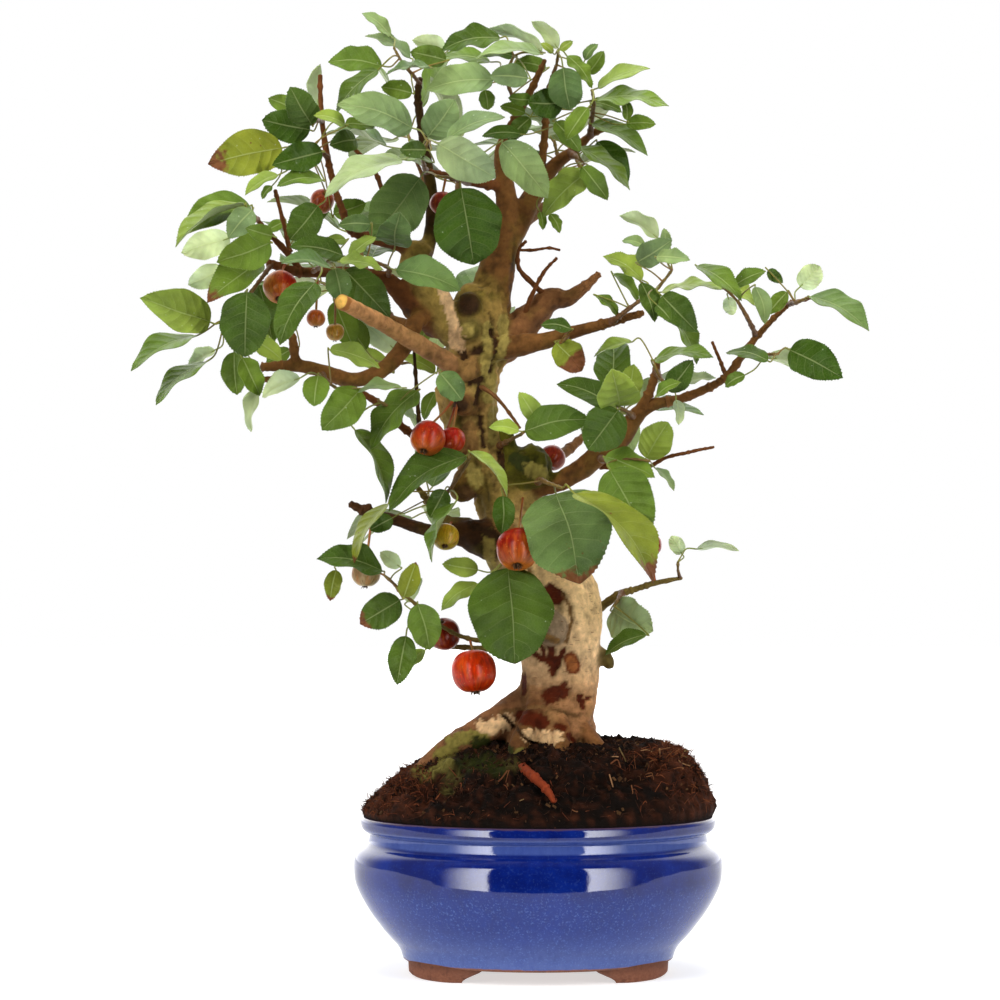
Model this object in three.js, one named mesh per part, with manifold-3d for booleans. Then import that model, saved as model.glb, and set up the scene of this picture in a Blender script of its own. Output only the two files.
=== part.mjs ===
// Crabapple bonsai in a glazed oval pot.
// Millimetres, +Z up, front towards -Y, standing on its four feet at z = 0.
import * as THREE from "three";
import Module from "manifold-3d";

const wasm = await Module();
wasm.setup();

// ---------------------------------------------------------------- driving dimensions (mm)
const POT_HALF_WIDTH = 100.7;      // at the belly
const POT_DEPTH_RATIO = 0.8;       // the pot is oval: front to back is shorter
const RIM_HEIGHT = 86;
const BASE_HEIGHT = 8.5;           // underside of the pot, above the table
const FLOOR_HEIGHT = 14;           // inside
const WALL = 5;
const DRAIN_RADIUS = 7;
const DRAIN_OFFSET = 30;
const FOOT_SPAN = [116, 174];      // one foot's stretch of the base oval (degrees)
const FOOT_SLOPE = 9;              // its ends draw in by this much towards the table (degrees)
const FOOT_MIDDLE = 67.5;          // from the pot's axis to the middle of a foot
const FOOT_WIDTH = 16;
const SOIL_RISE = 40;              // above the rim
const CLEARANCE = 0.35;            // between touching pieces
const SEAM_TOLERANCE = 0.2;
const BLADE_THICKNESS = 0.6;
const BLADE_ASPECT = 0.56;         // width over length
const BROADEST_ASPECT = 0.85;
const PETIOLE_RADIUS = 0.6;
const ELBOW = 3.5;                 // how far behind a blade its petiole turns, where it turns back
const STALK_RADIUS = 0.7;

// The plant's places are read off an upright grid that is seen from an eye in front of it.
// A place is its column and row on that grid, and its depth behind the pot's axis.
const GRID = 0.55;                 // one column or row, at the axis
const AXIS_COLUMN = 538;
const TABLE_ROW = 972;
const EYE_COLUMN = 500;
const EYE_ROW = 500;
const EYE_DISTANCE = 1850;

// The crown opens like a fan: what lies in front of the axis stands further forward
// the further it is from this column, or above this row.
const FAN_COLUMN = 490;
const FAN_ROW = 330;
const FAN_REACH = 300;
const FAN_GAIN = 1.5;

const COLOURS = {
  deep: 0x2b4a18, dark: 0x3c5224, mid: 0x566b2a, bright: 0x708a3a, sage: 0x63794a,
  grey: 0x758756, sheen: 0x96a47c, under: 0xa0ae80, olive: 0x7d8a3a,
  fruit: 0xb4401c, yellow: 0xd7a447, bark: 0x8d7350, soil: 0x2a1b13, glaze: 0x14257f,
};

function at([column, row, nominalDepth]) {
  const away = Math.hypot(column - FAN_COLUMN, Math.min(0, row - FAN_ROW)) / FAN_REACH;
  const depth = nominalDepth * (nominalDepth < 0 ? 1 + FAN_GAIN * away * away : 1);
  const spread = GRID * (1 + depth / EYE_DISTANCE);
  return new THREE.Vector3(
    (EYE_COLUMN - AXIS_COLUMN) * GRID + (column - EYE_COLUMN) * spread,
    depth,
    (TABLE_ROW - EYE_ROW) * GRID + (EYE_ROW - row) * spread,
  );
}

// ---------------------------------------------------------------- solids
function solid(points, faces) {
  const vertProperties = new Float32Array(points.flatMap((p) => [p.x, p.y, p.z]));
  const triVerts = new Uint32Array(faces);
  return new wasm.Manifold(new wasm.Mesh({ numProp: 3, vertProperties, triVerts }));
}

// A closed body through rings of equally many points, ending on a point each way.
function loft(rings, start, end) {
  const sides = rings[0].length;
  const last = rings.length - 1;
  const points = [start, ...rings.flat(), end];
  const on = (ring, side) => 1 + ring * sides + (side % sides);
  const faces = [];
  for (let side = 0; side < sides; side++) {
    faces.push(0, on(0, side + 1), on(0, side));
    faces.push(points.length - 1, on(last, side), on(last, side + 1));
    for (let ring = 0; ring < last; ring++) {
      faces.push(on(ring, side), on(ring, side + 1), on(ring + 1, side + 1));
      faces.push(on(ring, side), on(ring + 1, side + 1), on(ring + 1, side));
    }
  }
  return solid(points, faces);
}

function join(solids) {
  return solids.reduce((whole, piece) => whole.add(piece));
}

// The biggest of the bodies that a cut leaves, without the slivers along its seams.
function mainBody(cut) {
  const bodies = cut.asOriginal().simplify(SEAM_TOLERANCE).decompose();
  return bodies.reduce((best, other) => (other.volume() > best.volume() ? other : best));
}

function mesh(name, body, colour, roughness) {
  const { vertProperties, triVerts } = body.getMesh();
  const geometry = new THREE.BufferGeometry();
  geometry.setAttribute("position", new THREE.BufferAttribute(vertProperties, 3));
  geometry.setIndex(new THREE.BufferAttribute(triVerts, 1));
  geometry.computeVertexNormals();
  const material = new THREE.MeshStandardMaterial({ color: colour, roughness, metalness: 0 });
  const result = new THREE.Mesh(geometry, material);
  result.name = name;
  return result;
}

// ---------------------------------------------------------------- seeded chance
function chance(seed) {
  let state = seed;
  return () => {
    state = (state + 0x6d2b79f5) | 0;
    let mixed = Math.imul(state ^ (state >>> 15), 1 | state);
    mixed = (mixed + Math.imul(mixed ^ (mixed >>> 7), 61 | mixed)) ^ mixed;
    return ((mixed ^ (mixed >>> 14)) >>> 0) / 4294967296;
  };
}

// ---------------------------------------------------------------- limbs
// A smooth curve through points, at t from 0 to 1.
function along(points, t) {
  const place = Math.min(t * (points.length - 1), points.length - 1.000001);
  const i = Math.floor(place);
  const f = place - i;
  const [a, b, c, d] = [i - 1, i, i + 1, i + 2].map(
    (k) => points[Math.max(0, Math.min(points.length - 1, k))]);
  const out = new THREE.Vector3();
  out.addScaledVector(a, (-f + 2 * f * f - f * f * f) / 2);
  out.addScaledVector(b, (2 - 5 * f * f + 3 * f * f * f) / 2);
  out.addScaledVector(c, (f + 4 * f * f - 3 * f * f * f) / 2);
  out.addScaledVector(d, (-f * f + f * f * f) / 2);
  return out;
}

function widthAlong(widths, t) {
  const place = Math.min(t * (widths.length - 1), widths.length - 1.000001);
  const i = Math.floor(place);
  return widths[i] + (widths[i + 1] - widths[i]) * (place - i);
}

// A limb through places that each end with their width in grid steps.
// `bumps` swells and pinches it; `grow` fattens it by a clearance all round.
function limb({ route, sides = 5, step = 24, bumps = 0, cut = false }, grow = 0) {
  const points = route.map(at);
  const widths = route.map((place) => place[3]);
  const length = points.slice(1).reduce((sum, p, i) => sum + p.distanceTo(points[i]), 0);
  const stations = Math.max(route.length - 1, Math.ceil(length / step));
  const rings = [];
  const normal = new THREE.Vector3(0, -1, 0);
  const ends = [];
  for (let k = 0; k <= stations; k++) {
    const t = k / stations;
    const centre = along(points, t);
    const tangent = along(points, Math.min(1, t + 0.02)).sub(along(points, Math.max(0, t - 0.02)));
    tangent.normalize();
    if (k === 0 && Math.abs(tangent.y) > 0.9) normal.set(1, 0, 0);
    normal.addScaledVector(tangent, -normal.dot(tangent)).normalize();
    const binormal = tangent.clone().cross(normal);
    const ring = [];
    for (let side = 0; side < sides; side++) {
      const angle = (side / sides) * 2 * Math.PI;
      const swell = (Math.sin(3 * angle + 23 * t) + Math.sin(5 * angle - 37 * t + 1)) / 2;
      const radius = (widthAlong(widths, t) / 2) * GRID * (1 + bumps * swell) + grow;
      ring.push(centre.clone()
        .addScaledVector(normal, Math.cos(angle) * radius)
        .addScaledVector(binormal, Math.sin(angle) * radius));
    }
    rings.push(ring);
    if (k === 0 || k === stations) {
      const out = (k === 0 ? -1 : 1) * (widthAlong(widths, t) * GRID * (cut ? 0.04 : 0.25) + grow);
      ends.push(centre.clone().addScaledVector(tangent, out));
    }
  }
  return loft(rings, ends[0], ends[1]);
}

// Trunk, roots, arms, branches and bare twigs: [column, row, depth, width].
const WOOD = [
  { sides: 11, bumps: 0.06, route: [
    [548, 772, 0, 84], [548, 745, 0, 95], [552, 715, 0, 85], [557, 690, 0, 76], [560, 660, 0, 79],
    [563, 640, 0, 78], [564, 620, 0, 76], [558, 600, 0, 80], [545, 575, 1, 85], [525, 545, 0, 82],
    [515, 515, 0, 68], [505, 490, 0, 62], [485, 460, 2, 58], [472, 430, 4, 54], [468, 400, 4, 55],
    [472, 370, 2, 60], [478, 340, 2, 62], [478, 315, 2, 60], [485, 292, 3, 44]] },
  { sides: 8, bumps: 0.06, route: [     // left root
    [545, 690, 2, 34], [515, 712, -4, 36], [488, 729, -8, 33], [462, 742, -10, 28], [436, 757, -8, 20],
    [412, 778, -6, 12]] },
  { sides: 7, route: [[540, 705, -14, 26], [528, 728, -24, 24], [518, 746, -32, 18], [512, 766, -38, 10]] },
  { sides: 4, route: [[560, 715, -14, 22], [562, 738, -24, 18], [560, 752, -32, 12], [558, 768, -36, 7]] },
  { sides: 4, route: [[575, 720, -8, 22], [590, 738, -14, 18], [604, 752, -18, 11], [612, 768, -20, 6]] },
  { sides: 4, route: [[560, 715, 12, 30], [575, 738, 26, 22], [590, 756, 38, 12]] },
  { sides: 4, route: [[535, 715, 12, 28], [510, 738, 26, 22], [490, 758, 36, 12]] },
  { sides: 4, route: [[520, 764, -36, 12], [524, 769, -52, 10], [534, 777, -63, 10], [546, 789, -65, 9],
    [555, 802, -67, 5]] },
  { sides: 4, route: [[595, 655, -2, 22], [606, 659, -2, 16], [611, 668, -2, 8]] },          // spur
  { sides: 7, route: [[550, 628, -14, 34], [549, 628, -24, 28]] },                           // knot
  { sides: 7, bumps: 0.09, route: [[505, 470, -2, 42], [528, 467, -12, 44], [545, 466, -12, 36]] },
  { sides: 7, bumps: 0.1, route: [[480, 470, -4, 34], [466, 488, -12, 30], [462, 498, -14, 20]] },
  { sides: 4, route: [[510, 496, -12, 18], [512, 460, -15, 15], [505, 430, -12, 14]] },      // old stem
  { sides: 4, route: [[475, 306, -6, 30], [466, 304, -15, 22]] },
  { sides: 4, route: [[474, 330, -8, 30], [467, 330, -16, 22]] },
  { sides: 4, route: [[474, 370, -8, 28], [465, 370, -17, 20]] },
  { sides: 4, route: [[470, 405, -6, 28], [460, 405, -15, 18]] },
  { sides: 7, bumps: 0.05, route: [     // left arm
    [474, 358, 0, 40], [462, 340, -2, 37], [445, 318, -6, 34], [428, 290, -8, 34], [415, 265, -8, 31],
    [422, 245, -8, 24]] },
  { sides: 4, route: [                  // its branch to the left and the tall dark shoot
    [424, 256, -8, 18], [400, 246, -10, 13], [370, 238, -12, 11], [350, 230, -13, 9], [343, 212, -13, 8],
    [335, 188, -13, 7], [328, 160, -12, 7], [322, 120, -10, 6], [320, 75, -8, 5]] },
  { sides: 4, route: [[418, 284, -8, 18], [400, 286, -12, 13], [385, 277, -14, 12], [350, 272, -16, 11],
    [300, 272, -16, 11], [268, 263, -18, 9]] },
  { sides: 4, route: [[300, 270, -16, 8], [289, 255, -16, 7], [266, 230, -18, 6], [248, 209, -20, 4]] },
  { sides: 3, route: [[290, 252, -16, 6], [284, 225, -14, 5], [275, 190, -12, 4]] },
  { sides: 3, route: [[392, 245, -10, 7], [378, 178, -8, 5], [350, 145, -10, 4]] },
  { sides: 4, route: [[422, 258, -6, 20], [430, 236, -4, 14], [432, 200, -2, 13], [425, 150, -4, 11],
    [418, 100, -6, 8], [420, 78, -6, 6]] },
  { sides: 7, bumps: 0.04, route: [     // right arm
    [484, 312, 3, 48], [490, 298, 4, 42], [497, 270, 6, 37], [505, 240, 8, 31], [507, 210, 8, 24],
    [505, 185, 8, 19], [502, 150, 6, 15], [515, 120, 4, 10], [532, 88, 2, 8], [545, 60, 0, 5]] },
  { sides: 4, route: [[506, 250, 8, 24], [522, 215, 12, 24], [537, 190, 16, 20], [555, 165, 18, 14],
    [575, 150, 18, 11], [592, 134, 16, 8], [612, 126, 14, 6]] },
  { sides: 4, route: [[540, 185, 16, 10], [545, 130, 14, 8], [548, 95, 10, 6], [556, 66, 6, 4]] },
  { sides: 4, route: [[502, 186, 8, 12], [470, 182, -4, 9], [445, 175, -10, 7], [430, 171, -14, 5]] },
  { sides: 7, cut: true, route: [       // the sawn branch
    [474, 374, -4, 22], [456, 367, -14, 20], [420, 345, -30, 18], [380, 322, -46, 16], [344, 303, -60, 15]] },
  { sides: 6, bumps: 0.05, route: [     // the curved branch
    [430, 312, -8, 20], [416, 322, -16, 18], [405, 345, -24, 17], [385, 368, -28, 16], [355, 380, -28, 15],
    [325, 372, -27, 14], [300, 366, -26, 13], [262, 367, -26, 9]] },
  { sides: 3, route: [[296, 366, -26, 11], [294, 350, -28, 10], [292, 334, -29, 8]] },
  { sides: 3, route: [[292, 366, -26, 10], [278, 378, -26, 8], [262, 379, -26, 5]] },
  { sides: 4, route: [[462, 452, -6, 12], [412, 434, -20, 9], [378, 403, -22, 8], [345, 385, -18, 7],
    [330, 380, -14, 5]] },
  { sides: 3, route: [[420, 436, -19, 6], [418, 410, -14, 5], [414, 350, -16, 3]] },
  { sides: 4, route: [[470, 524, -8, 14], [447, 520, -16, 10], [430, 503, -20, 8], [412, 480, -20, 4]] },
  { sides: 6, bumps: 0.06, route: [     // left stub
    [515, 546, -4, 44], [490, 540, -10, 42], [468, 534, -14, 32], [445, 535, -14, 15], [420, 528, -13, 13],
    [395, 520, -12, 12], [372, 514, -12, 12], [350, 504, -12, 8]] },
  { sides: 4, route: [[372, 514, -12, 12], [366, 506, -14, 8]] },
  { sides: 6, bumps: 0.05, route: [     // right stub
    [490, 352, 4, 38], [512, 338, 6, 36], [530, 318, 8, 30], [550, 300, 8, 25], [566, 299, 8, 18],
    [582, 289, 8, 12], [599, 274, 8, 7]] },
  { sides: 3, route: [[522, 322, 4, 6], [531, 297, -2, 5], [544, 272, -4, 4], [557, 258, -4, 3]] },
  { sides: 3, route: [[546, 296, 6, 7], [533, 284, 2, 6], [519, 268, 0, 5], [519, 250, -2, 4],
    [526, 241, -3, 4]] },
  { sides: 6, route: [                  // right branch
    [486, 350, -8, 28], [512, 346, -14, 24], [540, 342, -16, 18], [570, 333, -18, 14], [600, 325, -20, 11],
    [625, 318, -22, 9], [643, 313, -24, 7]] },
  { sides: 6, bumps: 0.05, route: [     // long right branch
    [500, 492, 0, 26], [520, 490, -6, 20], [545, 487, -10, 18], [575, 473, -14, 21], [600, 455, -16, 20],
    [620, 440, -18, 19], [635, 417, -18, 17], [652, 405, -18, 13], [680, 399, -18, 10], [710, 387, -18, 9],
    [728, 375, -18, 9], [745, 352, -17, 8], [760, 333, -16, 7], [780, 312, -15, 6], [792, 301, -15, 5]] },
  { sides: 4, route: [[636, 416, -18, 12], [648, 395, -20, 10], [655, 375, -20, 9], [658, 358, -20, 6]] },
  { sides: 3, route: [[600, 466, -12, 8], [645, 467, -16, 5], [665, 458, -18, 4], [690, 452, -20, 4],
    [714, 447, -20, 3]] },
  { sides: 3, route: [[757, 337, -16, 5], [748, 320, -14, 4], [738, 302, -14, 3]] },
  { sides: 3, route: [[790, 303, -15, 5], [812, 298, -15, 3]] },
  { sides: 3, route: [[726, 376, -18, 5], [719, 358, -14, 4], [712, 342, -12, 3]] },
  { sides: 4, route: [[585, 612, 6, 14], [600, 607, 6, 10], [620, 594, 5, 9], [636, 589, 5, 7],
    [655, 583, 5, 6], [682, 578, 5, 4]] },
  { sides: 3, route: [[476, 384, -8, 6], [497, 398, -16, 4], [520, 428, -18, 3]] },
  { sides: 4, route: [[545, 650, -10, 7], [515, 645, -24, 6], [467, 638, -30, 5], [440, 625, -30, 4],
    [418, 606, -28, 4], [398, 590, -26, 3]] },
  { sides: 4, route: [[545, 652, 0, 8], [510, 650, -8, 7], [475, 648, -10, 6], [432, 645, -8, 4]] },
  // branches that spread behind the trunk, and one low to the front
  { sides: 4, route: [[478, 400, 4, 26], [486, 385, 28, 18], [492, 366, 58, 13], [480, 345, 92, 9],
    [470, 330, 118, 5]] },
  { sides: 4, route: [[500, 262, 8, 24], [480, 240, 34, 16], [452, 215, 62, 11], [430, 190, 88, 7],
    [420, 170, 108, 4]] },
  { sides: 4, route: [[508, 232, 8, 20], [534, 214, 36, 14], [560, 199, 66, 10], [582, 184, 92, 5]] },
  { sides: 4, route: [[512, 480, 4, 24], [535, 466, 32, 16], [565, 452, 64, 12], [590, 430, 92, 6]] },
  { sides: 4, route: [[478, 345, 6, 24], [440, 332, 32, 15], [392, 320, 56, 11], [350, 300, 76, 6]] },
  { sides: 4, route: [[520, 555, 8, 20], [498, 548, 34, 12], [470, 540, 58, 8], [448, 524, 76, 5]] },
  // the swollen root of the upper left branch, and the dead twig's side shoot
  { sides: 5, route: [[440, 326, -2, 32], [416, 309, -8, 26], [399, 293, -12, 18], [386, 280, -14, 11]] },
  { sides: 3, route: [[519, 250, -2, 4], [534, 250, -2, 3], [548, 248, -2, 3], [560, 250, -2, 3]] },
];

// ---------------------------------------------------------------- leaves
// A blade from base to tip, with the direction that its upper face looks in.
function bladeFrame(base, tip, facing, width) {
  const run = tip.clone().sub(base);
  const length = run.length();
  run.normalize();
  const normal = facing.clone().addScaledVector(run, -facing.dot(run)).normalize();
  const across = run.clone().cross(normal);
  return { base, run, normal, across, length, width };
}

// Places along the blade, and the share of its width there; a bigger blade has more.
const STATIONS = [
  { from: 60, rows: [[0.2, 0.82], [0.48, 1], [0.8, 0.6]] },
  { from: 36, rows: [[0.28, 0.95], [0.68, 0.82]] },
  { from: 0, rows: [[0.42, 1]] },
];
const BOW = 0.09;
const FOLD = 0.22;

function bladePoint({ base, run, normal, across, length, width }, s, side, share, lift) {
  const reach = (side * share * width) / 2;
  const rise = BOW * length * Math.sin(Math.PI * s) + FOLD * Math.abs(reach) + lift;
  return base.clone()
    .addScaledVector(run, s * length)
    .addScaledVector(across, reach)
    .addScaledVector(normal, rise);
}

// The petiole's three-sided section at a place, turned so that it faces along the direction.
function petioleRing(centre, direction, { run, normal, across }, halfWidth, halfHeight) {
  const turn = new THREE.Quaternion().setFromUnitVectors(run, direction);
  const wide = across.clone().applyQuaternion(turn).multiplyScalar(halfWidth);
  const high = normal.clone().applyQuaternion(turn).multiplyScalar(halfHeight);
  return [[-1, 1], [1, 1], [0, -1]].map(([x, y]) => (
    centre.clone().addScaledVector(wide, x).addScaledVector(high, y)));
}

// A leaf in one piece: a petiole that starts at `from`, and a blade whose two faces share one
// triangulation, so that it is equally thick all over. `room` fattens it all round.
function leaf({ frame, from }, room) {
  const half = BLADE_THICKNESS / 2 + room;
  const roomy = { ...frame, width: frame.width + 2 * room };
  const thick = PETIOLE_RADIUS + room;
  const { rows } = STATIONS.find((choice) => frame.length >= choice.from);
  const lead = frame.base.clone().sub(from).normalize();
  const elbow = frame.base.clone().addScaledVector(frame.run, -ELBOW);
  const bend = elbow.clone().sub(from).normalize().add(frame.run).normalize();
  const rings = [petioleRing(from, lead, frame, thick, thick)];
  if (lead.dot(frame.run) < 0.4) rings.push(petioleRing(elbow, bend, frame, thick, thick));
  rings.push(petioleRing(frame.base, frame.run, frame, thick, half));
  const points = rings.flat();
  const faces = [0, 2, 1];
  const quad = (a, b, c, d) => faces.push(a, b, c, a, c, d);
  for (let ring = 0; ring + 1 < rings.length; ring++) {
    for (let side = 0; side < 3; side++) {
      const next = (side + 1) % 3;
      quad(ring * 3 + side, ring * 3 + next, ring * 3 + 3 + next, ring * 3 + 3 + side);
    }
  }
  // Each row is left, rib and right on the upper face, then the same on the lower face.
  const low = points.length - 1;
  let [left, right, lowRight, lowLeft] = [low - 2, low - 1, low, low];
  let previous = null;
  for (const [s, share] of rows) {
    const row = points.length;
    for (const lift of [half, -half]) {
      for (const side of [-1, 0, 1]) points.push(bladePoint(roomy, s, side, share, lift));
    }
    if (previous === null) {
      faces.push(left, row + 1, row, left, right, row + 1, right, row + 2, row + 1);
      faces.push(low, row + 3, row + 4, low, row + 4, row + 5);
    } else {
      quad(previous, previous + 1, row + 1, row);
      quad(previous + 1, previous + 2, row + 2, row + 1);
      quad(previous + 3, row + 3, row + 4, previous + 4);
      quad(previous + 4, row + 4, row + 5, previous + 5);
    }
    quad(left, row, row + 3, lowLeft);
    quad(right, lowRight, row + 5, row + 2);
    [left, right, lowRight, lowLeft] = [row, row + 2, row + 5, row + 3];
    previous = row;
  }
  const tip = points.length;
  points.push(bladePoint(roomy, 1, 0, 0, half), bladePoint(roomy, 1, 0, 0, -half));
  faces.push(previous, previous + 1, tip, previous + 1, previous + 2, tip);
  faces.push(previous + 3, tip + 1, previous + 4, previous + 4, tip + 1, previous + 5);
  quad(left, tip, tip + 1, lowLeft);
  quad(right, lowRight, tip + 1, tip);
  return solid(points, faces);
}

function rod(from, to, radius, sides = 3) {
  const tangent = to.clone().sub(from).normalize();
  const helper = Math.abs(tangent.z) > 0.8 ? new THREE.Vector3(1, 0, 0) : new THREE.Vector3(0, 0, 1);
  const normal = helper.cross(tangent).normalize();
  const binormal = tangent.clone().cross(normal);
  const rings = [from, to].map((centre) => Array.from({ length: sides }, (_, side) => {
    const angle = (side / sides) * 2 * Math.PI;
    return centre.clone()
      .addScaledVector(normal, Math.cos(angle) * radius)
      .addScaledVector(binormal, Math.sin(angle) * radius);
  }));
  return loft(rings, from, to);
}

// A leaf as it shows on the grid: base, tip and seen width, each in grid steps.
// A wide short one leans out to the front; a narrow long one is rolled about its midrib.
function gridLeaf([baseColumn, baseRow, tipColumn, tipRow, seen, tone, depth], shift) {
  const seenLength = Math.hypot(tipColumn - baseColumn, tipRow - baseRow) * GRID;
  const seenWidth = seen * GRID;
  const length = Math.max(seenLength, seenWidth / BROADEST_ASPECT);
  const width = Math.max(length * BLADE_ASPECT, seenWidth);
  const lean = Math.sqrt(length * length - seenLength * seenLength);
  const roll = Math.acos(Math.min(1, seenWidth / width));
  const base = at([baseColumn, baseRow, depth + shift]);
  const tip = at([tipColumn, tipRow, depth + shift - lean]);
  const run = tip.clone().sub(base).normalize();
  const front = new THREE.Vector3(0, -1, 0).addScaledVector(run, run.y).normalize();
  const side = run.clone().cross(front);
  if (side.z < 0) side.negate();
  const facing = front.multiplyScalar(Math.cos(roll) * (tone === "under" ? -1 : 1));
  facing.addScaledVector(side, Math.sin(roll));
  return bladeFrame(base, tip, facing, width);
}

// Leaves set round a stem by rule, for the sprays that spread to the back.
function ruledLeaf(stem, number, count, seed, shift) {
  const random = chance(seed * 100 + number);
  const t = 0.35 + (0.65 * (number + 0.5)) / count;
  const from = along(stem, t);
  const tangent = along(stem, Math.min(1, t + 0.05)).sub(along(stem, t - 0.05)).normalize();
  const turn = number * 2.4 + random();
  const level = new THREE.Vector3(-tangent.y, tangent.x, 0).normalize();
  const upright = tangent.clone().cross(level).multiplyScalar(-1);
  const out = tangent.clone().multiplyScalar(0.5)
    .addScaledVector(level, Math.cos(turn) * 0.9)
    .addScaledVector(upright, Math.sin(turn) * 0.6);
  out.normalize();
  const base = from.clone().addScaledVector(out, 12 + 6 * random());
  base.y += shift;
  const length = 33 + 15 * random();
  const heading = out.clone().add(new THREE.Vector3(0, 0, -0.35 + 0.3 * random())).normalize();
  const tip = base.clone().addScaledVector(heading, length);
  const facing = new THREE.Vector3(0.5 * (random() - 0.5), 0.5 * (random() - 0.5), 1);
  return { frame: bladeFrame(base, tip, facing, length * BLADE_ASPECT), from };
}

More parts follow.
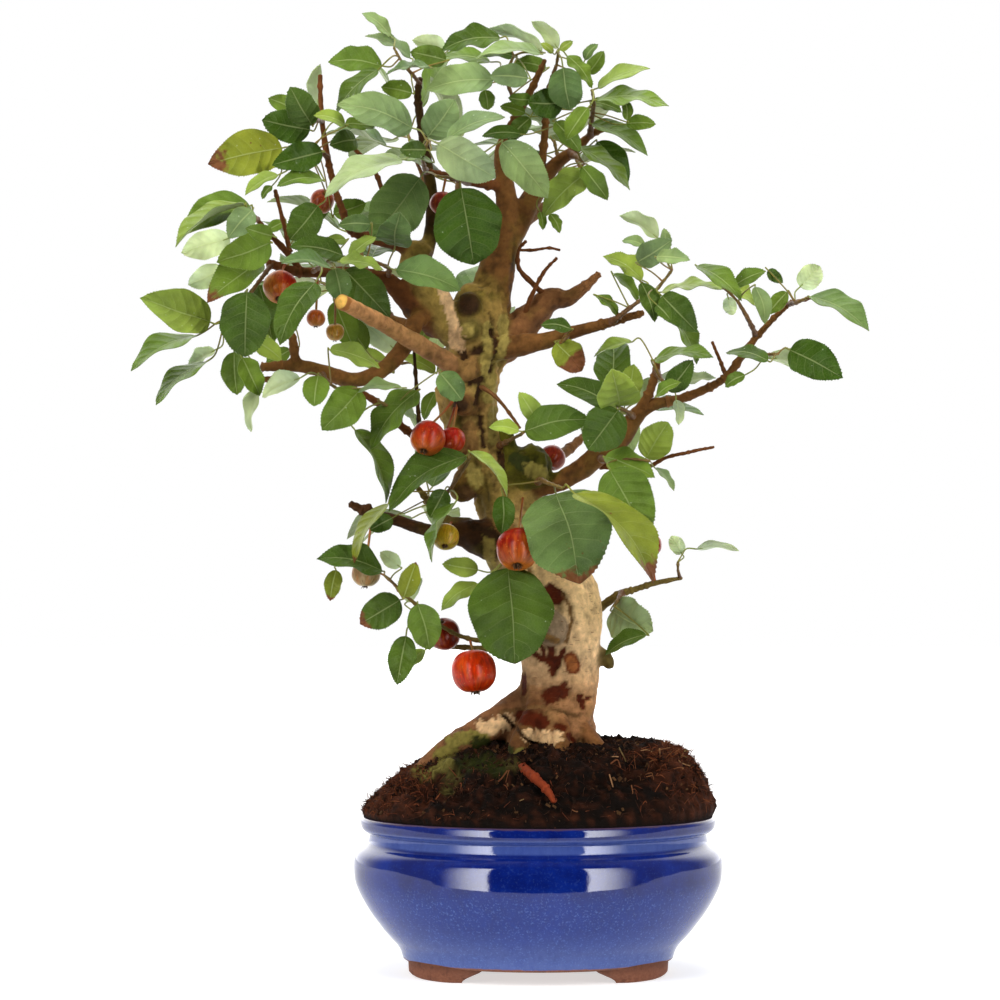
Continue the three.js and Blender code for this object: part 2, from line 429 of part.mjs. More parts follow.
// Sprays of leaves. Each has a stem rooted in a branch, and leaves placed by hand on the grid
// as [base column, base row, tip column, tip row, seen width, tone, depth],
// or `ruled` leaves set round the stem. A leaf without a depth takes its spray's.
const SPRAYS = [
  { name: "spray_left_outer_high", depth: -20,
    stem: [[258, 219, -19, 5], [250, 224, -26, 4], [246, 236, -30, 3]],
    leaves: [
      [250, 206, 181, 235, 34, "mid", -16], [244, 205, 175, 246, 15, "bright", -30],
      [230, 238, 181, 253, 30, "under", -14], [252, 210, 228, 238, 24, "grey", -38],
      [270, 243, 217, 262, 36, "mid", -34], [272, 236, 245, 228, 18, "mid", -42],
      [222, 268, 188, 285, 24, "under", -12], [262, 262, 207, 302, 34, "mid", -30]] },
  { name: "spray_left_outer_low", depth: -26,
    stem: [[272, 264, -18, 6], [260, 280, -24, 4], [246, 298, -26, 4], [224, 320, -26, 3]],
    leaves: [
      [210, 322, 140, 298, 40, "bright"], [196, 336, 131, 371, 20, "mid"],
      [206, 362, 156, 405, 18, "mid"], [215, 350, 188, 370, 12, "under", -16],
      [247, 292, 245, 357, 48, "dark", -40], [234, 352, 237, 395, 28, "mid"],
      [242, 358, 260, 396, 22, "mid"], [258, 388, 251, 432, 11, "under"],
      [250, 338, 282, 360, 20, "bright", -38]] },
  { name: "spray_left_shoot_low", depth: -16,
    stem: [[328, 158, -12, 6], [318, 150, -16, 4], [302, 147, -19, 3], [290, 148, -20, 3]],
    leaves: [
      [282, 148, 208, 164, 46, "olive"], [322, 152, 272, 165, 30, "dark", -26],
      [322, 180, 277, 186, 18, "mid", -30], [278, 175, 245, 195, 14, "bright", -30],
      [318, 206, 290, 240, 32, "dark", -26], [345, 125, 314, 115, 14, "bright", -28],
      [345, 124, 375, 127, 14, "mid", -24], [356, 140, 330, 145, 24, "dark", -8],
      [272, 186, 262, 199, 8, "mid", -14], [334, 214, 366, 203, 22, "mid", -4]] },
  { name: "spray_left_shoot_high", depth: -14,
    stem: [[322, 122, -10, 5], [317, 120, -18, 4], [313, 124, -22, 3]],
    leaves: [
      [310, 130, 262, 120, 34, "dark"], [312, 125, 290, 87, 32, "dark", -22],
      [318, 105, 320, 64, 14, "under", 2], [300, 112, 268, 98, 20, "mid", 6]] },
  { name: "spray_left_fruit", depth: -30,
    stem: [[312, 272, -16, 6], [320, 267, -26, 4], [326, 262, -32, 3]],
    leaves: [
      [315, 283, 279, 344, 34, "mid", -58], [330, 268, 282, 262, 14, "sage", -40],
      [343, 256, 290, 246, 24, "dark", -32], [346, 240, 322, 246, 12, "bright"],
      [335, 268, 342, 300, 26, "sage", -42]] },
  { name: "spray_left_behind", depth: -6,
    stem: [[290, 272, -16, 6], [286, 284, -8, 4], [284, 298, 0, 3]],
    leaves: [
      [258, 285, 272, 345, 28, "dark", -14], [290, 350, 266, 362, 16, "mid", -4],
      [334, 302, 354, 350, 28, "mid", 6], [276, 300, 238, 318, 22, "dark", 4],
      [284, 222, 264, 232, 12, "mid", -4], [300, 235, 330, 205, 22, "dark", 6]] },
  { name: "spray_centre_left", depth: -30,
    stem: [[388, 277, -14, 6], [388, 268, -26, 4], [372, 262, -32, 4], [348, 262, -34, 3]],
    leaves: [
      [396, 270, 461, 290, 32, "sage", -36], [345, 270, 390, 318, 38, "dark", -24],
      [395, 245, 400, 212, 36, "sage", -24], [340, 262, 384, 270, 14, "bright", -48],
      [350, 257, 376, 237, 14, "bright", -40], [370, 224, 338, 225, 18, "sage", -34]] },
  { name: "spray_curved_branch", depth: -34,
    stem: [[322, 372, -27, 8], [326, 380, -34, 4], [336, 388, -38, 3]],
    leaves: [
      [300, 378, 262, 397, 18, "under", -36], [318, 376, 314, 406, 26, "mid"],
      [360, 390, 322, 430, 36, "mid", -40], [330, 350, 380, 368, 18, "bright", -52],
      [402, 388, 358, 392, 10, "grey", -44]] },
  { name: "spray_lower_arm_front", depth: -32,
    stem: [[400, 421, -22, 6], [392, 410, -30, 4], [378, 400, -34, 3]],
    leaves: [
      [418, 391, 371, 449, 30, "mid", -34], [355, 430, 387, 503, 17, "mid", -26],
      [400, 402, 414, 418, 12, "under", -30], [440, 373, 462, 400, 26, "sage", -40]] },
  { name: "spray_lower_front", depth: -38,
    stem: [[436, 509, -19, 6], [448, 492, -30, 4], [462, 472, -36, 3], [470, 458, -38, 3]],
    leaves: [
      [466, 456, 388, 510, 32, "dark", -40], [388, 504, 354, 563, 14, "olive", -34],
      [445, 490, 430, 518, 22, "dark", -36], [455, 503, 431, 562, 9, "mid", -30],
      [392, 518, 370, 530, 18, "dark", -26], [470, 452, 508, 496, 10, "bright", -44]] },
  { name: "spray_centre_behind", depth: 16,
    stem: [[462, 340, 14, 7], [440, 352, 26, 4], [412, 362, 32, 3], [388, 364, 34, 3]],
    leaves: [
      [395, 350, 360, 320, 24, "under"], [435, 372, 402, 357, 16, "bright"],
      [420, 345, 436, 315, 18, "bright"], [436, 392, 424, 420, 14, "mid", 12],
      [366, 350, 334, 312, 26, "mid"], [380, 320, 350, 290, 22, "bright", 20],
      [392, 372, 344, 350, 20, "bright", 26]] },
  { name: "spray_top_left", depth: -8,
    stem: [[420, 84, -6, 5], [412, 74, -10, 4], [402, 62, -12, 3], [394, 48, -12, 3]],
    leaves: [
      [390, 36, 362, 13, 14, "grey"], [410, 58, 365, 36, 14, "grey"],
      [446, 50, 412, 40, 18, "under", 4], [446, 60, 410, 52, 22, "mid", -2],
      [382, 66, 328, 62, 28, "mid", -10], [378, 70, 336, 113, 20, "dark", -14],
      [412, 93, 381, 87, 20, "mid", -14], [430, 68, 386, 74, 10, "sage", -18]] },
  { name: "spray_upper_left_front", depth: -26,
    stem: [[427, 172, -5, 7], [424, 166, -18, 4], [423, 152, -28, 4], [430, 140, -32, 3]],
    leaves: [
      [412, 128, 337, 104, 38, "sheen", -28], [428, 137, 455, 100, 36, "sheen", -24],
      [447, 140, 505, 117, 20, "grey", -34], [438, 144, 496, 178, 40, "sheen", -40],
      [402, 160, 324, 196, 26, "sheen", -36], [426, 150, 400, 150, 18, "dark", -40],
      [432, 162, 388, 162, 9, "mid", -36]] },
  { name: "spray_top_middle", depth: 0,
    stem: [[517, 116, 4, 7], [512, 96, -2, 4], [506, 76, -6, 4], [514, 56, -8, 3]],
    leaves: [
      [500, 38, 441, 50, 26, "dark", -4], [542, 52, 487, 29, 9, "under", 2],
      [540, 54, 476, 57, 16, "grey", -8], [515, 57, 480, 55, 14, "dark", 8],
      [490, 62, 438, 60, 16, "mid", 2], [493, 80, 426, 90, 34, "grey", -14],
      [528, 78, 490, 76, 24, "grey", -18], [485, 90, 488, 110, 16, "mid", -8],
      [546, 68, 514, 62, 18, "mid", 6]] },
  { name: "spray_centre_front", depth: -30,
    stem: [[468, 182, -5, 8], [462, 181, -22, 4], [452, 178, -32, 3], [436, 176, -36, 3]],
    leaves: [
      [461, 188, 474, 265, 66, "deep", -28], [420, 178, 372, 240, 54, "sheen", -26],
      [502, 143, 548, 198, 38, "sage", -30]] },
  { name: "spray_top_right", depth: -2,
    stem: [[549, 88, 9, 6], [553, 75, 4, 4], [557, 62, 0, 3], [558, 50, -2, 3]],
    leaves: [
      [558, 48, 532, 21, 14, "under"], [560, 50, 573, 41, 9, "bright"],
      [553, 53, 541, 43, 8, "bright", -6], [567, 56, 592, 88, 16, "mid", -6],
      [563, 68, 570, 110, 34, "sage", -8], [563, 103, 528, 103, 30, "deep", -10],
      [532, 100, 508, 98, 14, "dark", -2], [585, 60, 598, 44, 10, "sage"],
      [588, 74, 604, 51, 16, "mid", 2]] },
  { name: "spray_right_crown_outer", depth: -4,
    stem: [[590, 136, 16, 8], [592, 118, 4, 5], [594, 104, -4, 4], [592, 90, -8, 3]],
    leaves: [
      [598, 88, 650, 68, 16, "bright"], [597, 100, 669, 106, 20, "mid", -8],
      [592, 102, 622, 112, 14, "mid", 6], [588, 108, 566, 140, 20, "mid", -14],
      [626, 124, 656, 124, 16, "mid", 0], [627, 120, 624, 98, 12, "mid", 0],
      [592, 124, 648, 155, 20, "mid", 2], [555, 122, 580, 152, 20, "mid", -6],
      [530, 118, 508, 142, 18, "dark", -4], [525, 113, 500, 106, 14, "mid", -6],
      [520, 134, 482, 136, 16, "deep", -2]] },
  { name: "spray_right_crown_low", depth: -2,
    stem: [[570, 154, 18, 11], [578, 158, 6, 4], [584, 164, 0, 3]],
    leaves: [
      [578, 148, 630, 190, 18, "mid"], [597, 142, 627, 187, 26, "deep", 12],
      [582, 167, 608, 200, 22, "mid", -10], [588, 172, 543, 216, 32, "bright", -12],
      [550, 214, 560, 233, 11, "mid", -4], [540, 212, 543, 230, 9, "mid", -2]] },
  { name: "spray_right_branch_near", depth: -30,
    stem: [[612, 322, -21, 10], [622, 314, -27, 5], [642, 299, -30, 4], [656, 290, -31, 4],
      [672, 270, -31, 3]],
    leaves: [
      [658, 238, 620, 215, 14, "under", -28], [645, 246, 622, 241, 11, "grey", -32],
      [638, 262, 672, 240, 26, "grey", -34], [657, 257, 690, 260, 16, "grey", -36],
      [666, 250, 664, 228, 12, "grey", -26], [642, 280, 603, 256, 20, "bright", -24],
      [613, 274, 638, 302, 12, "mid", -22], [596, 296, 618, 316, 11, "mid", -26],
      [641, 283, 655, 322, 20, "dark", -38], [662, 296, 697, 332, 30, "dark", -38],
      [668, 312, 697, 364, 18, "mid", -24], [657, 305, 671, 320, 14, "dark", -44],
      [662, 292, 724, 289, 11, "bright", -22]] },
  { name: "spray_right_branch_middle", depth: -16,
    stem: [[756, 336, -16, 7], [750, 322, -22, 4], [738, 302, -24, 3], [722, 286, -24, 3],
      [704, 271, -22, 3]],
    leaves: [
      [697, 266, 742, 300, 20, "mid", -28], [720, 280, 756, 306, 16, "bright", -14],
      [735, 286, 766, 271, 16, "mid", -20], [755, 287, 765, 324, 18, "grey", -30],
      [728, 297, 733, 315, 14, "under", -20]] },
  { name: "spray_right_tip", depth: -16,
    stem: [[789, 304, -15, 6], [798, 302, -20, 4], [807, 298, -22, 3]],
    leaves: [
      [800, 287, 820, 266, 24, "under"], [810, 297, 869, 331, 24, "sage", -22],
      [787, 292, 768, 314, 16, "mid", -20], [768, 270, 783, 283, 12, "dark", -14]] },
  { name: "spray_right_tip_low", depth: -18,
    stem: [[748, 348, -17, 8], [762, 354, -24, 4], [778, 354, -26, 3]],
    leaves: [
      [790, 350, 843, 378, 38, "dark", -26], [768, 358, 829, 374, 14, "under", -16],
      [768, 361, 726, 353, 14, "dark", -30], [745, 375, 725, 387, 12, "mid", -30]] },
  { name: "spray_right_branch_fork", depth: -26,
    stem: [[656, 372, -20, 9], [662, 380, -27, 4], [667, 386, -29, 3]],
    leaves: [
      [655, 360, 713, 356, 14, "mid"], [668, 391, 693, 360, 24, "dark", -34],
      [680, 385, 716, 378, 10, "under"], [657, 396, 681, 382, 12, "mid", -36],
      [632, 342, 594, 357, 9, "bright", -18], [676, 400, 679, 425, 10, "under", -28]] },
  { name: "spray_middle_right_high", depth: -28,
    stem: [[634, 418, -18, 10], [628, 412, -29, 4], [616, 406, -34, 3]],
    leaves: [
      [618, 410, 588, 450, 44, "dark", -38], [615, 408, 557, 383, 26, "dark", -28],
      [620, 406, 612, 370, 42, "bright", -24], [626, 400, 634, 364, 24, "bright", -14]] },
  { name: "spray_middle_front_high", depth: -34,
    stem: [[500, 446, -10, 8], [510, 440, -26, 4], [522, 434, -34, 3]],
    leaves: [
      [525, 431, 591, 419, 36, "dark", -34], [519, 431, 489, 427, 14, "bright", -38],
      [538, 423, 519, 392, 20, "bright", -28]] },
  { name: "spray_middle_right_low", depth: -26,
    stem: [[600, 456, -16, 12], [606, 461, -28, 4], [630, 459, -32, 3], [650, 461, -33, 3]],
    leaves: [
      [605, 457, 655, 477, 26, "mid", -30], [610, 470, 646, 540, 52, "mid", -36],
      [646, 458, 668, 422, 34, "bright", -24], [655, 468, 674, 491, 8, "grey", -24]] },
  { name: "spray_front_large_leaves", depth: -44,
    stem: [[536, 484, -10, 12], [540, 480, -26, 5], [548, 483, -40, 4], [562, 488, -46, 3]],
    leaves: [
      [556, 494, 580, 584, 90, "grey", -40], [575, 494, 655, 581, 32, "olive", -56],
      [503, 496, 502, 534, 23, "deep", -36]] },
  { name: "spray_front_low_leaf", depth: -44,
    stem: [[518, 548, -12, 10], [512, 552, -32, 5], [508, 560, -42, 3]],
    leaves: [
      [508, 568, 515, 664, 82, "dark"], [478, 570, 442, 564, 20, "bright", -36],
      [478, 584, 441, 610, 16, "bright", -30]] },
  { name: "spray_lower_left_outer", depth: -24,
    stem: [[399, 591, -26, 3.6], [394, 584, -27, 3.4], [384, 575, -27, 3]],
    leaves: [
      [382, 571, 317, 558, 26, "dark"], [336, 570, 330, 601, 18, "olive", -18],
      [400, 567, 380, 552, 16, "under"], [404, 597, 416, 562, 22, "olive", -34],
      [400, 600, 360, 624, 34, "dark", -32]] },
  { name: "spray_lower_left_inner", depth: -30,
    stem: [[430, 616, -29, 5], [424, 618, -36, 4], [418, 622, -38, 3]],
    leaves: [
      [418, 604, 430, 650, 32, "mid", -40], [406, 636, 397, 685, 28, "dark", -34],
      [425, 650, 400, 676, 14, "bright", -28], [407, 602, 422, 578, 14, "under", -24]] },
  { name: "spray_lower_right", depth: 2,
    stem: [[622, 593, 5, 8], [618, 600, -4, 4], [614, 606, -6, 3]],
    leaves: [[612, 611, 653, 631, 44, "bright"], [646, 635, 605, 655, 14, "dark", -10]] },
  { name: "spray_lower_right_tip", depth: 5,
    stem: [[680, 578, 5, 4], [678, 570, 0, 3], [678, 562, -1, 3]],
    leaves: [[682, 554, 671, 536, 16, "under"], [697, 549, 739, 551, 8, "under"]] },
  { name: "spray_branch_face", depth: -24,
    stem: [[568, 334, -18, 9], [564, 340, -26, 4], [560, 343, -30, 3]],
    leaves: [[556, 343, 582, 371, 32, "olive"], [571, 329, 541, 325, 14, "dark", -36]] },
  { name: "spray_back_low", ruled: 5, seed: 3,
    stem: [[470, 330, 118, 5], [462, 318, 130, 4], [450, 306, 142, 3]] },
  { name: "spray_back_top_left", ruled: 5, seed: 5,
    stem: [[420, 170, 108, 4], [412, 150, 118, 4], [408, 132, 128, 3]] },
  { name: "spray_back_top_middle", ruled: 4, seed: 8,
    stem: [[452, 215, 62, 9], [458, 182, 70, 5], [454, 152, 78, 3]] },
  { name: "spray_back_top_right", ruled: 4, seed: 9,
    stem: [[582, 184, 92, 5], [580, 168, 100, 4], [572, 152, 106, 3]] },
  { name: "spray_back_crown_right", ruled: 4, seed: 12,
    stem: [[560, 199, 66, 8], [560, 170, 60, 5], [554, 140, 54, 3]] },
  { name: "spray_back_right", ruled: 5, seed: 14,
    stem: [[590, 430, 92, 6], [606, 420, 102, 4], [622, 412, 110, 3]] },
  { name: "spray_back_left", ruled: 5, seed: 16,
    stem: [[350, 300, 76, 6], [330, 286, 82, 4], [306, 278, 86, 3]] },
  { name: "spray_back_left_high", ruled: 5, seed: 21,
    stem: [[392, 320, 56, 10], [376, 290, 62, 5], [362, 255, 66, 4], [356, 222, 68, 3]] },
  { name: "spray_back_lower", ruled: 5, seed: 25,
    stem: [[448, 524, 76, 5], [436, 512, 84, 4], [424, 502, 90, 3]] },
];

// Crabapples: centre on the grid, radius in grid steps, and the place on the wood that they hang from.
const FRUITS = [
  { name: "fruit_large_red", centre: [474, 671, -34], radius: 22, root: [470, 639, -30], tint: "fruit" },
  { name: "fruit_behind_leaf", centre: [444, 634, -14], radius: 16, root: [452, 646, -9], tint: "fruit" },
  { name: "fruit_front", centre: [518, 549, -52], radius: 21, root: [524, 487, -8], tint: "fruit" },
  { name: "fruit_yellow", centre: [446, 537, -34], radius: 13, root: [452, 521, -15], tint: "yellow" },
  { name: "fruit_cluster_left", centre: [428, 438, -36], radius: 17, root: [452, 402, -12], tint: "fruit" },
  { name: "fruit_cluster_right", centre: [452, 440, -34], radius: 13, root: [458, 400, -12], tint: "fruit" },
  { name: "fruit_cluster_low", centre: [437, 461, -28], radius: 12, root: [455, 408, -12], tint: "fruit" },
  { name: "fruit_by_knob", centre: [552, 458, -2], radius: 13, root: [545, 482, -8], tint: "fruit" },
  { name: "fruit_right_low", centre: [651, 545, 8], radius: 11, root: [655, 583, 5], tint: "fruit" },
  { name: "fruit_shoot", centre: [322, 201, -2], radius: 12, root: [337, 190, -13], tint: "fruit" },
  { name: "fruit_left", centre: [280, 287, -28], radius: 16, root: [284, 266, -18], tint: "fruit" },
  { name: "fruit_pair_left", centre: [316, 318, -20], radius: 9, root: [318, 272, -16], tint: "yellow" },
  { name: "fruit_pair_right", centre: [335, 332, -12], radius: 9, root: [336, 272, -16], tint: "yellow" },
  { name: "fruit_upper", centre: [442, 203, -14], radius: 12, root: [446, 176, -10], tint: "fruit" },
  { name: "fruit_pale", centre: [366, 573, -14], radius: 14, root: [372, 514, -12], tint: "yellow" },
];

const FRUIT_RINGS = [[-1.14, 0.2], [-0.93, 0.24], [-0.66, 0.76], [0, 1.02], [0.66, 0.74]];
const FRUIT_SIDES = 7;

function fruitBall(centre, up, radius) {
  const side = new THREE.Vector3(0, -1, 0).addScaledVector(up, up.y).normalize();
  const other = up.clone().cross(side);
  const ringOf = ([height, share]) => Array.from({ length: FRUIT_SIDES }, (_, i) => {
    const angle = (i / FRUIT_SIDES) * 2 * Math.PI;
    return centre.clone()
      .addScaledVector(up, height * radius)
      .addScaledVector(side, Math.cos(angle) * share * radius)
      .addScaledVector(other, Math.sin(angle) * share * radius);
  });
  const start = centre.clone().addScaledVector(up, -0.98 * radius);
  const end = centre.clone().addScaledVector(up, 0.8 * radius);
  return loft(FRUIT_RINGS.map(ringOf), start, end);
}

// ---------------------------------------------------------------- pot and soil
const POT_SIDES = 28;

// Half width and height of the section, from the underside's middle round to the floor's.
const OUTSIDE = [
  [75, BASE_HEIGHT], [82.5, 15], [89.5, 24.5], [96, 37], [100, 49], [POT_HALF_WIDTH, 56],
  [98.8, 64], [93.8, 71.5], [98.2, 76], [98.4, 83], [95.4, RIM_HEIGHT]];
const INSIDE = [
  [92, 85], [89.5, 72], [POT_HALF_WIDTH - WALL, 56], [91, 37], [82, 22], [68, FLOOR_HEIGHT]];

function ovalRing(halfWidth, height, sides = POT_SIDES) {
  return Array.from({ length: sides }, (_, side) => {
    const angle = (side / sides) * 2 * Math.PI;
    return new THREE.Vector3(
      halfWidth * Math.cos(angle), halfWidth * POT_DEPTH_RATIO * Math.sin(angle), height);
  });
}

// A foot follows the base oval and narrows to rounded ends, which slope in towards the table.
function foot(fromDegrees, toDegrees) {
  const steps = 6;
  const outlineAt = (trim) => {
    const outer = [];
    const inner = [];
    for (let k = 0; k <= steps; k++) {
      const t = k / steps;
      const angle = THREE.MathUtils.degToRad(
        fromDegrees + trim + (toDegrees - fromDegrees - 2 * trim) * t);
      const roundness = Math.sqrt(1 - Math.pow(Math.abs(2 * t - 1), 3));
      const half = (FOOT_WIDTH / 2) * Math.max(0.25, roundness);
      const spot = (distance) => new THREE.Vector2(
        distance * Math.cos(angle), distance * POT_DEPTH_RATIO * Math.sin(angle));
      outer.push(spot(FOOT_MIDDLE + half));
      inner.unshift(spot(FOOT_MIDDLE - half));
    }
    return [...outer, ...inner];
  };
  const bottom = outlineAt(FOOT_SLOPE);
  const flat = THREE.ShapeUtils.triangulateShape(bottom, []);
  const count = bottom.length;
  const points = [
    ...bottom.map((p) => new THREE.Vector3(p.x, p.y, 0)),
    ...outlineAt(0).map((p) => new THREE.Vector3(p.x, p.y, BASE_HEIGHT + 1))];
  const faces = [];
  flat.forEach(([a, b, c]) => faces.push(a, c, b, a + count, b + count, c + count));
  bottom.forEach((_, i) => {
    const next = (i + 1) % count;
    faces.push(i, next, next + count, i, next + count, i + count);
  });
  return solid(points, faces);
}

function pot() {
  const rings = [...OUTSIDE, ...INSIDE].map(([halfWidth, height]) => ovalRing(halfWidth, height));
  let body = loft(rings, new THREE.Vector3(0, 0, BASE_HEIGHT), new THREE.Vector3(0, 0, FLOOR_HEIGHT));
  const [from, to] = FOOT_SPAN;
  for (const [a, b] of [[from, to], [180 - to, 180 - from], [-to, -from], [from - 180, to - 180]]) {
    body = body.add(foot(a, b));
  }
  for (const x of [-DRAIN_OFFSET, DRAIN_OFFSET]) {
    const bottom = new THREE.Vector3(x, 0, BASE_HEIGHT - 3);
    body = body.subtract(rod(bottom, new THREE.Vector3(x, 0, FLOOR_HEIGHT + 3), DRAIN_RADIUS, 12));
  }
  return body;
}

// The mound stands steeply above the rim, steepest to the right, and crumbles onto the rim.
// To the left it runs down evenly.
function soil(hole) {
  const random = chance(71);
  const inside = INSIDE.slice(1).reverse().map(([halfWidth, height], i) => (
    ovalRing(halfWidth - 0.6, i === 0 ? height + CLEARANCE : height)));
  const lip = [ovalRing(91.2, RIM_HEIGHT + CLEARANCE), ovalRing(96.5, RIM_HEIGHT + CLEARANCE)];
  const top = [0.99, 0.93, 0.82, 0.62, 0.3].map((share) => (
    ovalRing(97.6 * share, 0).map((p, side) => {
      const rightward = Math.cos((side / POT_SIDES) * 2 * Math.PI);
      const steepness = 4.3 + (rightward > 0 ? 5.7 : 1.3) * rightward;
      const fall = Math.pow(share, steepness);
      const rough = 1.8 * (random() - 0.5);
      return new THREE.Vector3(
        p.x * (1 + 0.02 * (random() - 0.5)), p.y * (1 + 0.02 * (random() - 0.5)),
        RIM_HEIGHT + 2.5 + (SOIL_RISE - 2.5) * (1 - fall) + rough);
    })));
  const floor = new THREE.Vector3(0, 0, FLOOR_HEIGHT + CLEARANCE);
  const crest = new THREE.Vector3(0, 0, RIM_HEIGHT + SOIL_RISE);
  return mainBody(loft([...inside, ...lip, ...top], floor, crest).subtract(hole));
}

// ---------------------------------------------------------------- assembly
const wood = mainBody(join(WOOD.map((part) => limb(part))));
const woodWithRoom = join(WOOD.map((part) => limb(part, CLEARANCE)));

// What a new leaf or fruit has to stay clear of.
const taken = [];

function take(owner, kind, body) {
  taken.push({ owner, kind, body, box: body.boundingBox() });
}

function isClear(body, owner, kinds) {
  const box = body.boundingBox();
  return taken.every((other) => {
    if (other.owner === owner && !kinds.includes(other.kind)) return true;
    for (let axis = 0; axis < 3; axis++) {
      if (box.min[axis] > other.box.max[axis] || box.max[axis] < other.box.min[axis]) return true;
    }
    return body.intersect(other.body).isEmpty();
  });
}

// Moves back and forth in depth, nearest first, to try until a piece is clear.
const SHIFTS = [0, ...Array.from({ length: 11 }, (_, i) => [-4 * (i + 1), 4 * (i + 1)]).flat()];

take("tree", "wood", woodWithRoom);
for (const spray of SPRAYS) take(spray.name, "stem", limb({ route: spray.stem, sides: 3 }, 2 * CLEARANCE));

const fruitBodies = FRUITS.map(({ name, centre, radius, root }) => {
  const hook = at(root);
  for (const shift of SHIFTS) {
    const middle = at([centre[0], centre[1], centre[2] + shift]);
    const up = hook.clone().sub(middle).normalize();
    up.z += up.z < 0 ? -0.6 : 0.6;
    up.normalize();
    const crown = middle.clone().addScaledVector(up, 0.78 * radius * GRID);
    const parts = (room) => [
      fruitBall(middle, up, radius * GRID + room),
      rod(crown.clone().lerp(hook, room ? 0.25 : 0).addScaledVector(up, room ? 0 : -0.5),
        room ? crown.clone().lerp(hook, 0.6) : hook, STALK_RADIUS + room, 4)];
    if (parts(CLEARANCE).every((body) => isClear(body, name, []))) {
      parts(CLEARANCE).forEach((body) => take(name, "fruit", body));
      return mainBody(join(parts(0)).subtract(woodWithRoom));
    }
  }
  throw new Error(`${name} finds no clear place`);
});

function nearestOnStem(stem, point) {
  const places = Array.from({ length: 14 }, (_, i) => along(stem, 0.35 + (0.65 * i) / 13));
  return places.reduce((best, p) => (p.distanceTo(point) < best.distanceTo(point) ? p : best));
}

// One try per shift for every leaf of a spray: its blade, and where its petiole starts.
function leafTries({ name, stem, leaves = [], ruled = 0, seed, depth }) {
  const points = stem.map(at);
  const byHand = leaves.map((row) => (shift) => {
    const frame = gridLeaf([...row, depth], shift);
    return { frame, from: nearestOnStem(points, gridLeaf([...row, depth], 0).base) };
  });
  const byRule = Array.from({ length: ruled }, (_, i) => (shift) => ruledLeaf(points, i, ruled, seed, shift));
  return [...byHand, ...byRule];
}

// A leaf without the part of its petiole that is sunk in the stem.
function beyondStem({ frame, from }) {
  return { frame, from: from.clone().lerp(frame.base, 0.35) };
}

const sprayBodies = SPRAYS.map((spray) => {
  const parts = [limb({ route: spray.stem, sides: 3 })];
  for (const leafAt of leafTries(spray)) {
    const shift = SHIFTS.find((s) => (
      isClear(leaf(beyondStem(leafAt(s)), CLEARANCE), spray.name, ["leaf"])));
    if (shift === undefined) continue;
    take(spray.name, "leaf", leaf(beyondStem(leafAt(shift)), CLEARANCE));
    parts.push(leaf(leafAt(shift), 0));
  }
  return mainBody(join(parts).subtract(woodWithRoom));
});

const group = new THREE.Group();
group.add(mesh("pot", pot(), COLOURS.glaze, 0.08));
group.add(mesh("soil", soil(woodWithRoom), COLOURS.soil, 1));
group.add(mesh("trunk_and_branches", wood, COLOURS.bark, 0.85));
FRUITS.forEach(({ name, tint }, i) => group.add(mesh(name, fruitBodies[i], COLOURS[tint], 0.3)));
SPRAYS.forEach(({ name, leaves = [] }, i) => {
  const colour = leaves.reduce((mix, row) => mix.lerp(new THREE.Color(COLOURS[row[5]]), 0.4),
    new THREE.Color(COLOURS.mid));
  group.add(mesh(name, sprayBodies[i], colour, 0.5));
});

// The origin lies under the middle of everything.
const bounds = new THREE.Box3().setFromObject(group);
const middle = bounds.getCenter(new THREE.Vector3());
group.position.set(-middle.x, -middle.y, -bounds.min.z);

export default group;
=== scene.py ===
"""Crabapple bonsai in a glazed oval pot: the fine surface of every piece, in metres."""
import math
import random

import bpy
import numpy as np
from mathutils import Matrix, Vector, noise


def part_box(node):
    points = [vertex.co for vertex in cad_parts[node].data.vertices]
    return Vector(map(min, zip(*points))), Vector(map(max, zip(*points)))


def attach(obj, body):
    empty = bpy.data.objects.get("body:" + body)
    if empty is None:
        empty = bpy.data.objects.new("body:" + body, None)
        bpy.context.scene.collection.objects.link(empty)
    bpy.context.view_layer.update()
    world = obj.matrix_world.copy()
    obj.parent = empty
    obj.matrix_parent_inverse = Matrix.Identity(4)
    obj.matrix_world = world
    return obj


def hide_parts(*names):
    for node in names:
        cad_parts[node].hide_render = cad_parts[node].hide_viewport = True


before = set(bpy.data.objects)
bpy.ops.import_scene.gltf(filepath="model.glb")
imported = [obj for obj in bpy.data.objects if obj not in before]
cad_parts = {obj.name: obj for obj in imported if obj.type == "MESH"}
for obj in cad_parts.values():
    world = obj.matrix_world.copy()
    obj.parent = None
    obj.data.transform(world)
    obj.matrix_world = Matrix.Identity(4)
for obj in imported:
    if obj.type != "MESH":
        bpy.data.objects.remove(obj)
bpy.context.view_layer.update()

MM = 0.001

# ------------------------------------------------------------------ sizes (mm), as in the part
POT_DEPTH_RATIO = 0.8
RIM_HEIGHT = 86
FOOT_SPAN = (116, 174)
FOOT_WIDTH = 16
FOOT_MIDDLE = 67.5
SOIL_RISE = 40
BLADE_ASPECT = 0.56
BROADEST_ASPECT = 0.85
BOW = 0.09

# The plant's places are read off an upright grid that is seen from an eye in front of it.
GRID = 0.55  # mm from one column or row to the next, at the pot's axis
AXIS_COLUMN = 538
TABLE_ROW = 972
EYE_COLUMN = 500
EYE_ROW = 500
EYE_DISTANCE = 1850
# What comes forward comes further forward the further it is from this place.
FAN_COLUMN = 490
FAN_ROW = 330
FAN_REACH = 300
FAN_GAIN = 1.5

SHARP_ANGLE = math.radians(52)
FRONT = np.array([0, -1.0, 0])
UP = np.array([0, 0, 1.0])
TURN = 2 * math.pi
NEVER_BLACK = 0.001  # the darkest that a tint may be

